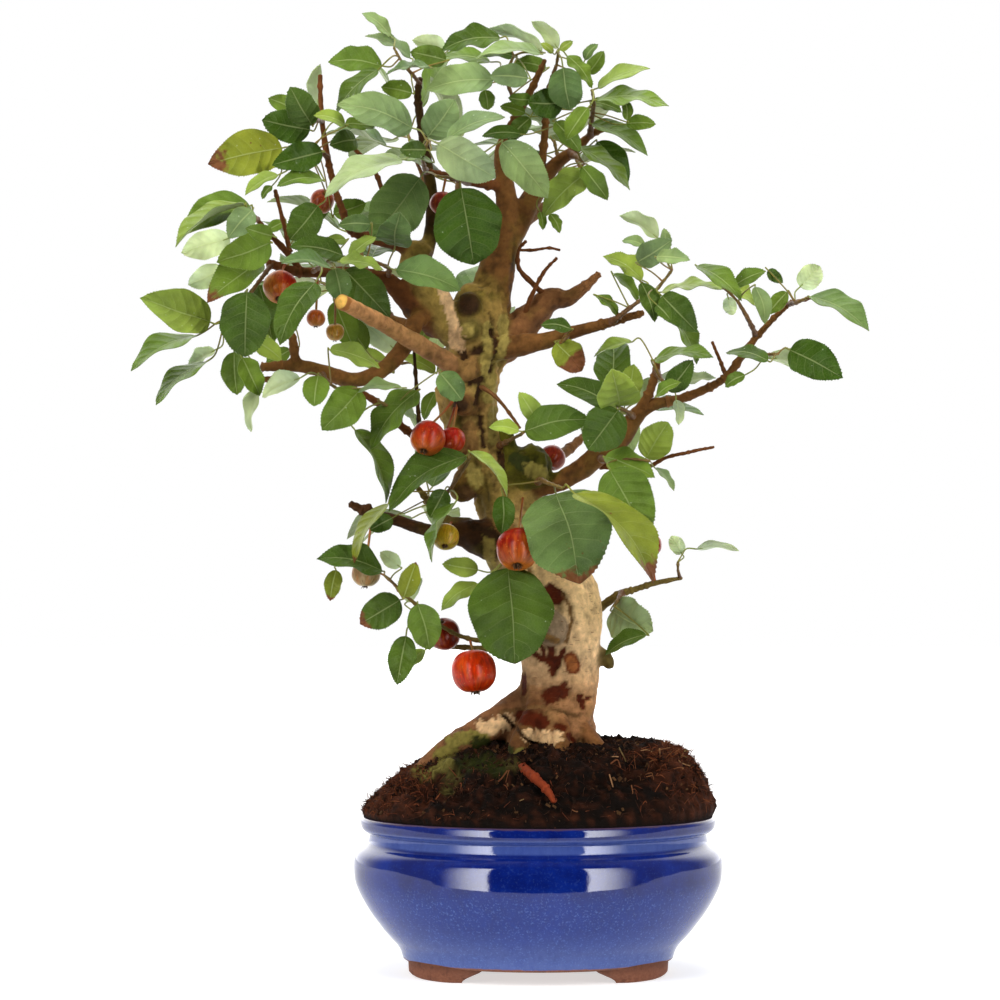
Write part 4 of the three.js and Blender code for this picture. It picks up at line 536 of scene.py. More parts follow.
# Each spray's stem, and base and tip of each leaf, its seen width, its tone and, where it isn't the
# spray's, its depth. The last nine stand at the back, with leaves set by rule.
SPRAYS = [
    placed("left_outer_high", -20, [[258, 219, -19, 5], [250, 224, -26, 4], [246, 236, -30, 3]], [
        [250, 206, 181, 235, 34, "mid", -16], [244, 205, 175, 246, 15, "bright", -30],
        [230, 238, 181, 253, 30, "under", -14], [252, 210, 228, 238, 24, "grey", -38],
        [270, 243, 217, 262, 36, "mid", -34], [272, 236, 245, 228, 18, "mid", -42],
        [222, 268, 188, 285, 24, "under", -12], [262, 262, 207, 302, 34, "mid", -30]]),
    placed("left_outer_low", -26, [[272, 264, -18, 6], [260, 280, -24, 4], [246, 298, -26, 4],
        [224, 320, -26, 3]], [[210, 322, 140, 298, 40, "bright"], [196, 336, 131, 371, 20, "mid"],
        [206, 362, 156, 405, 18, "mid"], [215, 350, 188, 370, 12, "under", -16],
        [247, 292, 245, 357, 48, "dark", -40], [234, 352, 237, 395, 28, "mid"],
        [242, 358, 260, 396, 22, "mid"], [258, 388, 251, 432, 11, "under"],
        [250, 338, 282, 360, 20, "bright", -38]]),
    placed("left_shoot_low", -16, [[328, 158, -12, 6], [318, 150, -16, 4], [302, 147, -19, 3],
        [290, 148, -20, 3]], [[282, 148, 208, 164, 46, "olive"], [322, 152, 272, 165, 30, "deep", -26],
        [322, 180, 277, 186, 18, "mid", -30], [278, 175, 245, 195, 14, "bright", -30],
        [318, 206, 290, 240, 32, "dark", -26], [345, 125, 314, 115, 14, "bright", -28],
        [345, 124, 375, 127, 14, "mid", -24], [356, 140, 330, 145, 24, "dark", -8],
        [272, 186, 262, 199, 8, "mid", -14], [334, 214, 366, 203, 22, "mid", -4]]),
    placed("left_shoot_high", -14, [[322, 122, -10, 5], [317, 120, -18, 4], [313, 124, -22, 3]], [
        [310, 130, 262, 120, 34, "deep"], [312, 125, 290, 87, 32, "dark", -22],
        [318, 105, 320, 64, 14, "under", 2], [300, 112, 268, 98, 20, "mid", 6]]),
    placed("left_fruit", -30, [[312, 272, -16, 6], [320, 267, -26, 4], [326, 262, -32, 3]], [
        [315, 283, 279, 344, 34, "dark", -58], [330, 268, 282, 262, 14, "sage", -40],
        [343, 256, 290, 246, 24, "dark", -32], [346, 240, 322, 246, 12, "bright"],
        [335, 268, 342, 300, 26, "sage", -42]]),
    placed("left_behind", -6, [[290, 272, -16, 6], [286, 284, -8, 4], [284, 298, 0, 3]], [
        [258, 285, 272, 345, 28, "dark", -14], [290, 350, 266, 362, 16, "mid", -4],
        [334, 302, 354, 350, 28, "mid", 6], [276, 300, 238, 318, 22, "dark", 4],
        [284, 222, 264, 232, 12, "mid", -4], [300, 235, 330, 205, 22, "dark", 6]]),
    placed("centre_left", -30, [[388, 277, -14, 6], [388, 268, -26, 4], [372, 262, -32, 4],
        [348, 262, -34, 3]], [[396, 270, 461, 290, 32, "sage", -36],
        [345, 270, 390, 318, 38, "dark", -24], [395, 245, 400, 212, 36, "sage", -24],
        [340, 262, 384, 270, 14, "bright", -48], [350, 257, 376, 237, 14, "bright", -40],
        [370, 224, 338, 225, 18, "sage", -34]]),
    placed("curved_branch", -34, [[322, 372, -27, 8], [326, 380, -34, 4], [336, 388, -38, 3]], [
        [300, 378, 262, 397, 18, "under", -36], [318, 376, 314, 406, 26, "mid"],
        [360, 390, 322, 430, 36, "mid", -40], [330, 350, 380, 368, 18, "bright", -52],
        [402, 388, 358, 392, 10, "grey", -44]]),
    placed("lower_arm_front", -32, [[400, 421, -22, 6], [392, 410, -30, 4], [378, 400, -34, 3]], [
        [418, 391, 371, 449, 30, "mid", -34], [355, 430, 387, 503, 17, "mid", -26],
        [400, 402, 414, 418, 12, "under", -30], [440, 373, 462, 400, 26, "sage", -40]]),
    placed("lower_front", -38, [[436, 509, -19, 6], [448, 492, -30, 4], [462, 472, -36, 3],
        [470, 458, -38, 3]], [[466, 456, 388, 510, 32, "dark", -40],
        [388, 504, 354, 563, 14, "olive", -34], [445, 490, 430, 518, 22, "dark", -36],
        [455, 503, 431, 562, 9, "mid", -30], [392, 518, 370, 530, 18, "dark", -26],
        [470, 452, 508, 496, 10, "bright", -44]]),
    placed("centre_behind", 16, [[462, 340, 14, 7], [440, 352, 26, 4], [412, 362, 32, 3],
        [388, 364, 34, 3]], [[395, 350, 360, 320, 24, "under"], [435, 372, 402, 357, 16, "bright"],
        [420, 345, 436, 315, 18, "bright"], [436, 392, 424, 420, 14, "mid", 12],
        [366, 350, 334, 312, 26, "mid"], [380, 320, 350, 290, 22, "bright", 20],
        [392, 372, 344, 350, 20, "bright", 26]]),
    placed("top_left", -8, [[420, 84, -6, 5], [412, 74, -10, 4], [402, 62, -12, 3], [394, 48, -12, 3]],
        [[390, 36, 362, 13, 14, "grey"], [410, 58, 365, 36, 14, "grey"],
        [446, 50, 412, 40, 18, "under", 4], [446, 60, 410, 52, 22, "mid", -2],
        [382, 66, 328, 62, 28, "mid", -10], [378, 70, 336, 113, 20, "dark", -14],
        [412, 93, 381, 87, 20, "mid", -14], [430, 68, 386, 74, 10, "sage", -18]]),
    placed("upper_left_front", -26, [[427, 172, -5, 7], [424, 166, -18, 4], [423, 152, -28, 4],
        [430, 140, -32, 3]], [[412, 128, 337, 104, 38, "grey", -28],
        [428, 137, 455, 100, 36, "grey", -24], [447, 140, 505, 117, 20, "grey", -34],
        [438, 144, 496, 178, 40, "sheen", -40], [402, 160, 324, 196, 26, "sheen", -36],
        [426, 150, 400, 150, 18, "dark", -40], [432, 162, 388, 162, 9, "mid", -36]]),
    placed("top_middle", 0, [[517, 116, 4, 7], [512, 96, -2, 4], [506, 76, -6, 4], [514, 56, -8, 3]], [
        [500, 38, 441, 50, 26, "dark", -4], [542, 52, 487, 29, 9, "under", 2],
        [540, 54, 476, 57, 16, "grey", -8], [515, 57, 480, 55, 14, "dark", 8],
        [490, 62, 438, 60, 16, "mid", 2], [493, 80, 426, 90, 34, "grey", -14],
        [528, 78, 490, 76, 24, "grey", -18], [485, 90, 488, 110, 16, "mid", -8],
        [546, 68, 514, 62, 18, "mid", 6]]),
    placed("centre_front", -30, [[468, 182, -5, 8], [462, 181, -22, 4], [452, 178, -32, 3],
        [436, 176, -36, 3]], [[461, 188, 474, 265, 66, "deep", -28],
        [420, 178, 372, 240, 54, "sage", -26], [502, 143, 548, 198, 38, "grey", -30]]),
    placed("top_right", -2, [[549, 88, 9, 6], [553, 75, 4, 4], [557, 62, 0, 3], [558, 50, -2, 3]], [
        [558, 48, 532, 21, 14, "under"], [560, 50, 573, 41, 9, "bright"],
        [553, 53, 541, 43, 8, "bright", -6], [567, 56, 592, 88, 16, "mid", -6],
        [563, 68, 570, 110, 34, "sage", -8], [563, 103, 528, 103, 30, "deep", -10],
        [532, 100, 508, 98, 14, "dark", -2], [585, 60, 598, 44, 10, "sage"],
        [588, 74, 604, 51, 16, "mid", 2]]),
    placed("right_crown_outer", -4, [[590, 136, 16, 8], [592, 118, 4, 5], [594, 104, -4, 4],
        [592, 90, -8, 3]], [[598, 88, 650, 68, 16, "bright"], [597, 100, 669, 106, 20, "mid", -8],
        [592, 102, 622, 112, 14, "mid", 6], [588, 108, 566, 140, 20, "mid", -14],
        [626, 124, 656, 124, 16, "mid", 0], [627, 120, 624, 98, 12, "mid", 0],
        [592, 124, 648, 155, 20, "mid", 2], [555, 122, 580, 152, 20, "mid", -6],
        [530, 118, 508, 142, 18, "dark", -4], [525, 113, 500, 106, 14, "mid", -6],
        [520, 134, 482, 136, 16, "deep", -2]]),
    placed("right_crown_low", -2, [[570, 154, 18, 11], [578, 158, 6, 4], [584, 164, 0, 3]], [
        [578, 148, 630, 190, 18, "mid"], [597, 142, 627, 187, 26, "deep", 12],
        [582, 167, 608, 200, 22, "mid", -10], [588, 172, 543, 216, 32, "bright", -12],
        [550, 214, 560, 233, 11, "mid", -4], [540, 212, 543, 230, 9, "mid", -2]]),
    placed("right_branch_near", -30, [[612, 322, -21, 10], [622, 314, -27, 5], [642, 299, -30, 4],
        [656, 290, -31, 4], [672, 270, -31, 3]], [[658, 238, 620, 215, 14, "under", -28],
        [645, 246, 622, 241, 11, "grey", -32], [638, 262, 672, 240, 26, "grey", -34],
        [657, 257, 690, 260, 16, "grey", -36], [666, 250, 664, 228, 12, "grey", -26],
        [642, 280, 603, 256, 20, "bright", -24], [613, 274, 638, 302, 12, "mid", -22],
        [596, 296, 618, 316, 11, "mid", -26], [641, 283, 655, 322, 20, "dark", -38],
        [662, 296, 697, 332, 30, "dark", -38], [668, 312, 697, 364, 18, "mid", -24],
        [657, 305, 671, 320, 14, "dark", -44], [662, 292, 724, 289, 11, "bright", -22]]),
    placed("right_branch_middle", -16, [[756, 336, -16, 7], [750, 322, -22, 4], [738, 302, -24, 3],
        [722, 286, -24, 3], [704, 271, -22, 3]], [[697, 266, 742, 300, 20, "mid", -28],
        [720, 280, 756, 306, 16, "bright", -14], [735, 286, 766, 271, 16, "mid", -20],
        [755, 287, 765, 324, 18, "grey", -30], [728, 297, 733, 315, 14, "under", -20]]),
    placed("right_tip", -16, [[789, 304, -15, 6], [798, 302, -20, 4], [807, 298, -22, 3]], [
        [800, 287, 820, 266, 24, "under"], [810, 297, 869, 331, 24, "sage", -22],
        [787, 292, 768, 314, 16, "mid", -20], [768, 270, 783, 283, 12, "dark", -14]]),
    placed("right_tip_low", -18, [[748, 348, -17, 8], [762, 354, -24, 4], [778, 354, -26, 3]], [
        [790, 350, 843, 378, 38, "deep", -26], [768, 358, 829, 374, 14, "under", -16],
        [768, 361, 726, 353, 14, "dark", -30], [745, 375, 725, 387, 12, "mid", -30]]),
    placed("right_branch_fork", -26, [[656, 372, -20, 9], [662, 380, -27, 4], [667, 386, -29, 3]], [
        [655, 360, 713, 356, 14, "mid"], [668, 391, 693, 360, 24, "dark", -34],
        [680, 385, 716, 378, 10, "under"], [657, 396, 681, 382, 12, "mid", -36],
        [632, 342, 594, 357, 9, "bright", -18], [676, 400, 679, 425, 10, "under", -28]]),
    placed("middle_right_high", -28, [[634, 418, -18, 10], [628, 412, -29, 4], [616, 406, -34, 3]], [
        [618, 410, 588, 450, 44, "dark", -38], [615, 408, 557, 383, 26, "dark", -28],
        [620, 406, 612, 370, 42, "bright", -24], [626, 400, 634, 364, 24, "bright", -14]]),
    placed("middle_front_high", -34, [[500, 446, -10, 8], [510, 440, -26, 4], [522, 434, -34, 3]], [
        [525, 431, 591, 419, 36, "dark", -34], [519, 431, 489, 427, 14, "bright", -38],
        [538, 423, 519, 392, 20, "bright", -28]]),
    placed("middle_right_low", -26, [[600, 456, -16, 12], [606, 461, -28, 4], [630, 459, -32, 3],
        [650, 461, -33, 3]], [[605, 457, 655, 477, 26, "mid", -30],
        [610, 470, 646, 540, 52, "mid", -36], [646, 458, 668, 422, 34, "bright", -24],
        [655, 468, 674, 491, 8, "grey", -24]]),
    placed("front_large_leaves", -44, [[536, 484, -10, 12], [540, 480, -26, 5], [548, 483, -40, 4],
        [562, 488, -46, 3]], [[556, 494, 580, 584, 90, "sage", -40],
        [575, 494, 655, 581, 32, "olive", -56], [503, 496, 502, 534, 23, "deep", -36]]),
    placed("front_low_leaf", -44, [[518, 548, -12, 10], [512, 552, -32, 5], [508, 560, -42, 3]], [
        [508, 568, 515, 664, 82, "dark"], [478, 570, 442, 564, 20, "bright", -36],
        [478, 584, 441, 610, 16, "bright", -30]]),
    placed("lower_left_outer", -24, [[399, 591, -26, 3.6], [394, 584, -27, 3.4], [384, 575, -27, 3]], [
        [382, 571, 317, 558, 26, "dark"], [336, 570, 330, 601, 18, "olive", -18],
        [400, 567, 380, 552, 16, "under"], [404, 597, 416, 562, 22, "olive", -34],
        [400, 600, 360, 624, 34, "dark", -32]]),
    placed("lower_left_inner", -30, [[430, 616, -29, 5], [424, 618, -36, 4], [418, 622, -38, 3]], [
        [418, 604, 430, 650, 32, "mid", -40], [406, 636, 397, 685, 28, "dark", -34],
        [425, 650, 400, 676, 14, "bright", -28], [407, 602, 422, 578, 14, "under", -24]]),
    placed("lower_right", 2, [[622, 593, 5, 8], [618, 600, -4, 4], [614, 606, -6, 3]], [
        [612, 611, 653, 631, 44, "sheen"], [646, 635, 605, 655, 14, "dark", -10]]),
    placed("lower_right_tip", 5, [[680, 578, 5, 4], [678, 570, 0, 3], [678, 562, -1, 3]], [
        [682, 554, 671, 536, 16, "under"], [697, 549, 739, 551, 8, "under"]]),
    placed("branch_face", -24, [[568, 334, -18, 9], [564, 340, -26, 4], [560, 343, -30, 3]], [
        [556, 343, 582, 371, 32, "olive"], [571, 329, 541, 325, 14, "dark", -36]]),
    ruled("back_low", 5, 3, [[470, 330, 118, 5], [462, 318, 130, 4], [450, 306, 142, 3]]),
    ruled("back_top_left", 5, 5, [[420, 170, 108, 4], [412, 150, 118, 4], [408, 132, 128, 3]]),
    ruled("back_top_middle", 4, 8, [[452, 215, 62, 9], [458, 182, 70, 5], [454, 152, 78, 3]]),
    ruled("back_top_right", 4, 9, [[582, 184, 92, 5], [580, 168, 100, 4], [572, 152, 106, 3]]),
    ruled("back_crown_right", 4, 12, [[560, 199, 66, 8], [560, 170, 60, 5], [554, 140, 54, 3]]),
    ruled("back_right", 5, 14, [[590, 430, 92, 6], [606, 420, 102, 4], [622, 412, 110, 3]]),
    ruled("back_left", 5, 16, [[350, 300, 76, 6], [330, 286, 82, 4], [306, 278, 86, 3]]),
    ruled("back_left_high", 5, 21, [[392, 320, 56, 10], [376, 290, 62, 5], [362, 255, 66, 4],
        [356, 222, 68, 3]]),
    ruled("back_lower", 5, 25, [[448, 524, 76, 5], [436, 512, 84, 4], [424, 502, 90, 3]]),
]
# Each apple's middle, radius and the start of its stalk, and its sunny and its shaded skin.
FRUITS = [
    crabapple("large_red", (474, 671, -34), 22, (470, 639, -30), (186, 44, 2), (158, 40, 3)),
    crabapple("behind_leaf", (444, 634, -14), 16, (452, 646, -9), (112, 22, 10), (136, 48, 20)),
    crabapple("front", (518, 549, -52), 21, (524, 487, -8), (128, 16, 4), (190, 104, 34)),
    crabapple("yellow", (446, 537, -34), 13, (452, 521, -15), (166, 134, 26), (158, 142, 40)),
    crabapple("cluster_left", (428, 438, -36), 17, (452, 402, -12), (148, 30, 10), (184, 92, 34)),
    crabapple("cluster_right", (452, 440, -34), 13, (458, 400, -12), (150, 28, 16), (160, 50, 22)),
    crabapple("cluster_low", (437, 461, -28), 12, (455, 408, -12), (168, 56, 14), (190, 110, 36)),
    crabapple("by_knob", (552, 458, -2), 13, (545, 482, -8), (116, 32, 18), (136, 58, 28)),
    crabapple("right_low", (651, 545, 8), 11, (655, 583, 5), (116, 10, 12), (140, 28, 18)),
    crabapple("shoot", (322, 201, -2), 12, (337, 190, -13), (132, 52, 32), (154, 88, 48)),
    crabapple("left", (280, 287, -28), 16, (284, 266, -18), (150, 30, 10), (190, 120, 44)),
    crabapple("pair_left", (316, 318, -20), 9, (318, 272, -16), (166, 80, 28), (176, 118, 50)),
    crabapple("pair_right", (335, 332, -12), 9, (336, 272, -16), (168, 124, 42), (176, 142, 62)),
    crabapple("upper", (442, 203, -14), 12, (446, 176, -10), (120, 30, 20), (150, 64, 34)),
    crabapple("pale", (366, 573, -14), 14, (372, 514, -12), (170, 134, 92), (182, 166, 112)),
]


# ------------------------------------------------------------------ leaves
# What the upper and the lower face of a leaf of each tone looks like. The grey and sheen tones are lighter
# with a painted sheen, and some leaves have a lighter or darker tone as painted light and shade.
TONES = {
    "deep": ((48, 72, 12), (110, 130, 85)),
    "dark": ((62, 84, 26), (120, 140, 92)),
    "mid": ((90, 114, 40), (138, 154, 104)),
    "bright": ((126, 146, 62), (150, 166, 112)),
    "sage": ((86, 110, 62), (140, 152, 110)),
    "grey": ((114, 136, 88), (155, 168, 120)),
    "sheen": ((144, 164, 122), (170, 182, 140)),
    "under": ((115, 140, 75), (184, 202, 162)),
    "olive": ((120, 130, 42), (150, 158, 100)),
}
# Leaves with a dry tip, by the place of their base: how much of the blade is brown.
WORN = {
    (282, 148): 0.35, (262, 262): 0.3, (575, 494): 0.3, (556, 494): 0.24, (508, 568): 0.12,
    (400, 600): 0.3, (556, 343): 0.6, (388, 504): 0.25, (404, 597): 0.2, (336, 570): 0.3,
}
# The part moves a leaf or an apple by one of these, in mm, where it would touch another.
SHIFTS = [0] + [sign * 4 * step for step in range(1, 12) for sign in (-1, 1)]
FOUND_WITHIN = 0.12
HALF_PART_BLADE = 0.3
STEM_SPACING = 0.7
STEM_SIDES = 10
STEM_PLACES = 14
STEM_BARE = 0.35  # the share of a stem that bears no leaf
SIDE_PLACES = np.array([-1, -0.9, -0.5, 0, 0.5, 0.9, 1])
# What chance gives each blade: waves of its edge, their phase and height, and its hook, swing and fold.
BLADE_CHANCES = {"waves": (1.2, 2.6), "phase": (0, 6), "ripple": (0.03, 0.1), "hook": (-0.05, 0.32),
                 "swing": (-0.14, 0.14), "fold": (0.12, 0.5)}
PETIOLE_SIDES = 6
PETIOLE_RADIUS = 0.56
PETIOLE_END = 0.14  # the share of a blade that its petiole runs under
ROSY = [(128, 64, 38), (112, 70, 40), (120, 104, 52)]
RULED_TONES = ["dark", "dark", "mid", "mid", "sage"]


def blade_frame(base, tip, facing, width):
    run = tip - base
    length = np.linalg.norm(run)
    run = run / length
    normal = unit(facing - run * (facing @ run))
    return {"base": base, "tip": tip, "run": run, "normal": normal, "across": np.cross(run, normal),
            "length": length, "width": width}


def grid_leaf(base_column, base_row, tip_column, tip_row, seen, tone, depth, shift):
    seen_length = math.hypot(tip_column - base_column, tip_row - base_row) * GRID
    seen_width = seen * GRID
    length = max(seen_length, seen_width / BROADEST_ASPECT)
    width = max(length * BLADE_ASPECT, seen_width)
    lean = math.sqrt(max(0, length**2 - seen_length**2))
    roll = math.acos(min(1, seen_width / width))
    base = at((base_column, base_row, depth + shift))
    tip = at((tip_column, tip_row, depth + shift - lean))
    run = unit(tip - base)
    front = unit(FRONT + run * run[1])
    side = np.cross(run, front)
    side = -side if side[2] < 0 else side
    turned = -1 if tone == "under" else 1
    return blade_frame(base, tip, front * math.cos(roll) * turned + side * math.sin(roll), width)


def ruled_leaf(stem, number, count, seed, shift):
    draw = chance(seed * 100 + number)
    t = STEM_BARE + (1 - STEM_BARE) * (number + 0.5) / count
    places = smooth_line(stem, [t, min(1, t + 0.05), t - 0.05])
    start = places[0]
    tangent = unit(places[1] - places[2])
    turn = number * 2.4 + draw()
    level = unit(np.array([-tangent[1], tangent[0], 0]))
    upright = -np.cross(tangent, level)
    out = unit(tangent * 0.5 + level * math.cos(turn) * 0.9 + upright * math.sin(turn) * 0.6)
    base = start + out * (12 + 6 * draw()) + np.array([0, shift, 0])
    length = 33 + 15 * draw()
    heading = unit(out + np.array([0, 0, -0.35 + 0.3 * draw()]))
    facing = np.array([0.5 * (draw() - 0.5), 0.5 * (draw() - 0.5), 1])
    return blade_frame(base, base + heading * length, facing, length * BLADE_ASPECT), start


def node_points(name):
    """The part's corners, from the middle of the pot's foot."""
    return read_vectors(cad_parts[name].data.vertices, "co", np.float32) / MM - POT_AXIS


def standing(points, places):
    """Whether the part has a corner at each of the places."""
    return all(np.linalg.norm(points - place, axis=1).min() < FOUND_WITHIN for place in places)


def leaves_of(spray):
    """Each leaf of a spray where it stands in the part: its frame, its petiole's start and its row."""
    stem = np.array([at(place) for place in spray["stem"]])
    shares = STEM_BARE + (1 - STEM_BARE) * np.arange(STEM_PLACES) / (STEM_PLACES - 1)
    along_stem = smooth_line(stem, shares)
    tries = []
    for row in spray["leaves"]:
        row = row if len(row) == 7 else row + [spray["depth"]]
        base = grid_leaf(*row, 0)["base"]
        start = along_stem[np.linalg.norm(along_stem - base, axis=1).argmin()]
        tries.append(([(grid_leaf(*row, shift), start) for shift in SHIFTS], row))
    for number in range(spray["ruled"]):
        options = [ruled_leaf(stem, number, spray["ruled"], spray["seed"], shift) for shift in SHIFTS]
        tries.append((options, None))
    corners = node_points(spray["name"])
    found = []
    for options, row in tries:
        for blade, start in options:
            lift = blade["normal"] * HALF_PART_BLADE
            if standing(corners, [blade["tip"] + lift, blade["tip"] - lift]):
                found.append((blade, start, row))
                break
    return found


def blade_surface(blade, draw, s, v, share, lift):
    """Points of a blade at places along it, places across it from -1 to 1, and a lift off its middle."""
    length, width = blade["length"], blade["width"]
    reach = v * share * width / 2
    wave = np.sin(TURN * (draw["waves"] * s) + draw["phase"] + 1.3 * np.sign(v))
    rise = (BOW * length * np.sin(math.pi * s) + draw["fold"] * np.abs(reach) * (1.12 - 0.3 * np.abs(v))
            + draw["ripple"] * width * v**2 * wave * share
            - draw["hook"] * length * np.clip(s - 0.7, 0, 1) ** 2)
    swing = draw["swing"] * length * (s * (1 - s)) * np.sin(math.pi * s)
    return (blade["base"] + blade["run"] * (s * length)[..., None]
            + blade["across"] * (reach + swing)[..., None]
            + blade["normal"] * (rise + lift)[..., None])


def toothed_edge(profile, even, outer, width, luck):
    """The share of a blade's half width along one edge, with fine uneven teeth."""
    depth = luck.uniform(0.35, 0.7) / (width / 2)
    uneven = np.array([luck.uniform(0.3, 1) for _ in even])
    notch = luck.uniform(0.94, 1.04) + 0.04 * np.sin(even * luck.uniform(9, 16) + luck.uniform(0, 6))
    return profile * notch * (1 - depth / 2) + np.where(outer, depth * uneven, 0) * (profile > 0.15)


def add_blade(shape, blade, tone, wear, luck):
    """A finely toothed blade, closed, with its two faces a little apart."""
    length, width = blade["length"], blade["width"]
    teeth = int(min(34, 8 + length * 0.62))
    rows = 2 * teeth + 1
    even = np.linspace(0, 1, rows)
    s = np.repeat(even[:, None], len(SIDE_PLACES), axis=1)
    wide = np.clip((width / length - BLADE_ASPECT) / 0.25, 0, 1)
    profile = (even + 0.004) ** (0.55 - 0.04 * wide) * (1.004 - even) ** (0.84 - 0.22 * wide)
    # it draws in before its tip
    profile = profile / profile.max() * (1 - 0.5 * np.exp((even - 1) / 0.055))
    v = np.repeat(SIDE_PLACES[None], rows, axis=0)
    share = np.repeat(profile[:, None], len(SIDE_PLACES), axis=1)
    outer = np.arange(rows) % 2 == 1
    for edge in (0, -1):
        share[:, edge] = toothed_edge(profile, even, outer, width, luck)
        # each tooth points to the tip
        s[:, edge] = np.minimum(1, s[:, edge] + np.where(outer, 0.6 / rows, 0) * (even < 0.95))
    share[0] = 0.03
    share[-1] = 0.015
    draw = {key: luck.uniform(*span) for key, span in BLADE_CHANCES.items()}
    half = 0.18 + 0.14 * (1 - np.abs(v)) * (1 - s)
    # the last number of the mark is the width in whole mm and a chance share of one
    mark = np.stack([s, v, np.full_like(s, round(width) + luck.uniform(0.05, 0.95))], -1).reshape(-1, 3)
    brightness = luck.uniform(0.92, 1.08)
    faces = grid_faces(rows, len(SIDE_PLACES))
    amount = rows * len(SIDE_PLACES)
    index = np.arange(amount).reshape(rows, -1)
    rim = np.concatenate([index[:, 0], index[-1, 1:], index[::-1, -1][1:], index[0, ::-1][1:-1]])
    after = np.roll(rim, -1)
    band = np.stack([rim, rim + amount, after + amount, after], 1)
    both = [blade_surface(blade, draw, s, v, share, lift).reshape(-1, 3) for lift in (half, -half)]
    upper, lower = (paint(*colour) * brightness for colour in TONES[tone])
    # it pales and yellows unevenly from one end to the other
    fade = np.clip(0.5 + 0.5 * np.sin(2.4 * s + draw["phase"]) + 0.18 * v, 0, 1).reshape(-1, 1)
    warm = np.array([1.16, 1.08, 0.92]) ** fade
    tints = np.concatenate([upper * (0.86 + 0.16 * fade) * warm, lower * (0.9 + 0.1 * fade) * warm])
    shape.add(np.concatenate(both), np.concatenate([faces[:, ::-1], faces + amount, band]), 0, tints,
              np.concatenate([mark, mark]), wear)


def add_petiole(shape, blade, start, tone, luck):
    """A petiole that leaves the stem and turns into the blade's run."""
    base, run = blade["base"], blade["run"]
    gap = np.linalg.norm(base - start)
    along = max(0, float(unit(base - start) @ run))
    back = run * min(1.2 + max(0, 0.5 * gap - 1.2) * along, 7)
    sag = np.array([luck.uniform(-0.05, 0.05), luck.uniform(-0.05, 0.05), luck.uniform(-0.02, 0.09)]) * gap
    knots = np.array([start, start + 0.4 * (base - back - start) + sag,
                      base - back, base, base + run * PETIOLE_END * blade["length"]])
    lift = BOW * blade["length"] * math.sin(math.pi * PETIOLE_END)
    knots[-1] += blade["normal"] * (lift - 0.3)
    count = 8 + int(gap / 2)
    centres = smooth_line(knots, np.linspace(0, 1, count))
    radii = np.interp(np.linspace(0, 1, count), [0, 0.12, 0.7, 1], [1.5, 0.95, 0.9, 0.5]) * PETIOLE_RADIUS
    radii = radii * min(1, 0.72 + blade["length"] / 160)
    green = 0.5 * paint(*TONES[tone][0]) + 0.5 * paint(132, 136, 62)
    rosy = paint(*luck.choice(ROSY))
    share = np.linspace(1, 0, len(centres))[:, None] ** 1.5
    tube(shape, centres, radii, PETIOLE_SIDES, 1, green * (1 - 0.75 * share) + rosy * 0.75 * share)


def stem_of(shape, spray):
    """A spray's stem, with rings of old bud scars."""
    centres, radii, t, length = limb_line(spray["stem"], STEM_SPACING, 8)
    scars = np.maximum(0, np.sin(t * length * 1.5)) ** 6
    radii = radii * (0.94 + 0.26 * scars + 0.07 * np.sin(t * length * 0.83))
    wood, young = paint(84, 54, 32), paint(104, 88, 44)
    hue = (wood + (young - wood) * (t**1.5)[:, None]) * (1 + 0.35 * scars)[:, None]
    tube(shape, centres, radii, STEM_SIDES, 1, hue, rough=0.2)


def grow_sprays(leaf, twig):
    for spray in SPRAYS:
        luck = random.Random(spray["name"])
        shape = Shape()
        stem_of(shape, spray)
        for blade, start, row in leaves_of(spray):
            tone = row[5] if row else luck.choice(RULED_TONES)
            wear = WORN.get(tuple(row[:2]), 0.0) if row else 0.0
            add_blade(shape, blade, tone, wear, luck)
            add_petiole(shape, blade, start, tone, luck)
        piece(spray["name"].replace("spray", "leaves"), shape, [leaf, twig], [spray["name"]])


# ------------------------------------------------------------------ wood
# The colour of each kind of limb. The trunk has its own, below.
SKINS = {
    "tan": (150, 104, 70), "root": (112, 74, 44), "red_root": (106, 44, 24), "grey": (98, 84, 44),
    "pink": (112, 76, 46), "moss": (66, 64, 14), "burl": (120, 92, 44), "dark": (50, 34, 14),
    "pale": (132, 112, 58), "red": (90, 54, 28), "bark": (98, 66, 34), "sawn": (148, 108, 70),
    "stub": (58, 36, 18),
}
# The trunk's bark, by row: reddish and pale below, greener and darker above.
TRUNK_SKIN = [
    (290, (115, 95, 45)), (370, (160, 132, 76)), (500, (150, 125, 68)), (600, (205, 175, 130)),
    (650, (210, 178, 136)), (700, (170, 124, 84)), (775, (75, 45, 28)),
]
BROWN = (64, 22, 6)
# painted shade in cracks, holes and hollows of the bark
CRACK_SHADE = (46, 30, 16)
RUST = (96, 46, 22)
KNOT = (140, 84, 46)
# painted shade in creases of the bark
CREASE_SHADE = (96, 70, 42)
WARM = (124, 94, 54)
WEATHERED = (130, 112, 90)
PALE = (194, 162, 122)
ALGAE = (138, 124, 66)
MOSS = (110, 102, 50)
# darker copies of the moss, as painted shade
MOSS_IN_HALF_SHADE = (64, 58, 28)
MOSS_IN_DEEP_SHADE = (34, 38, 12)
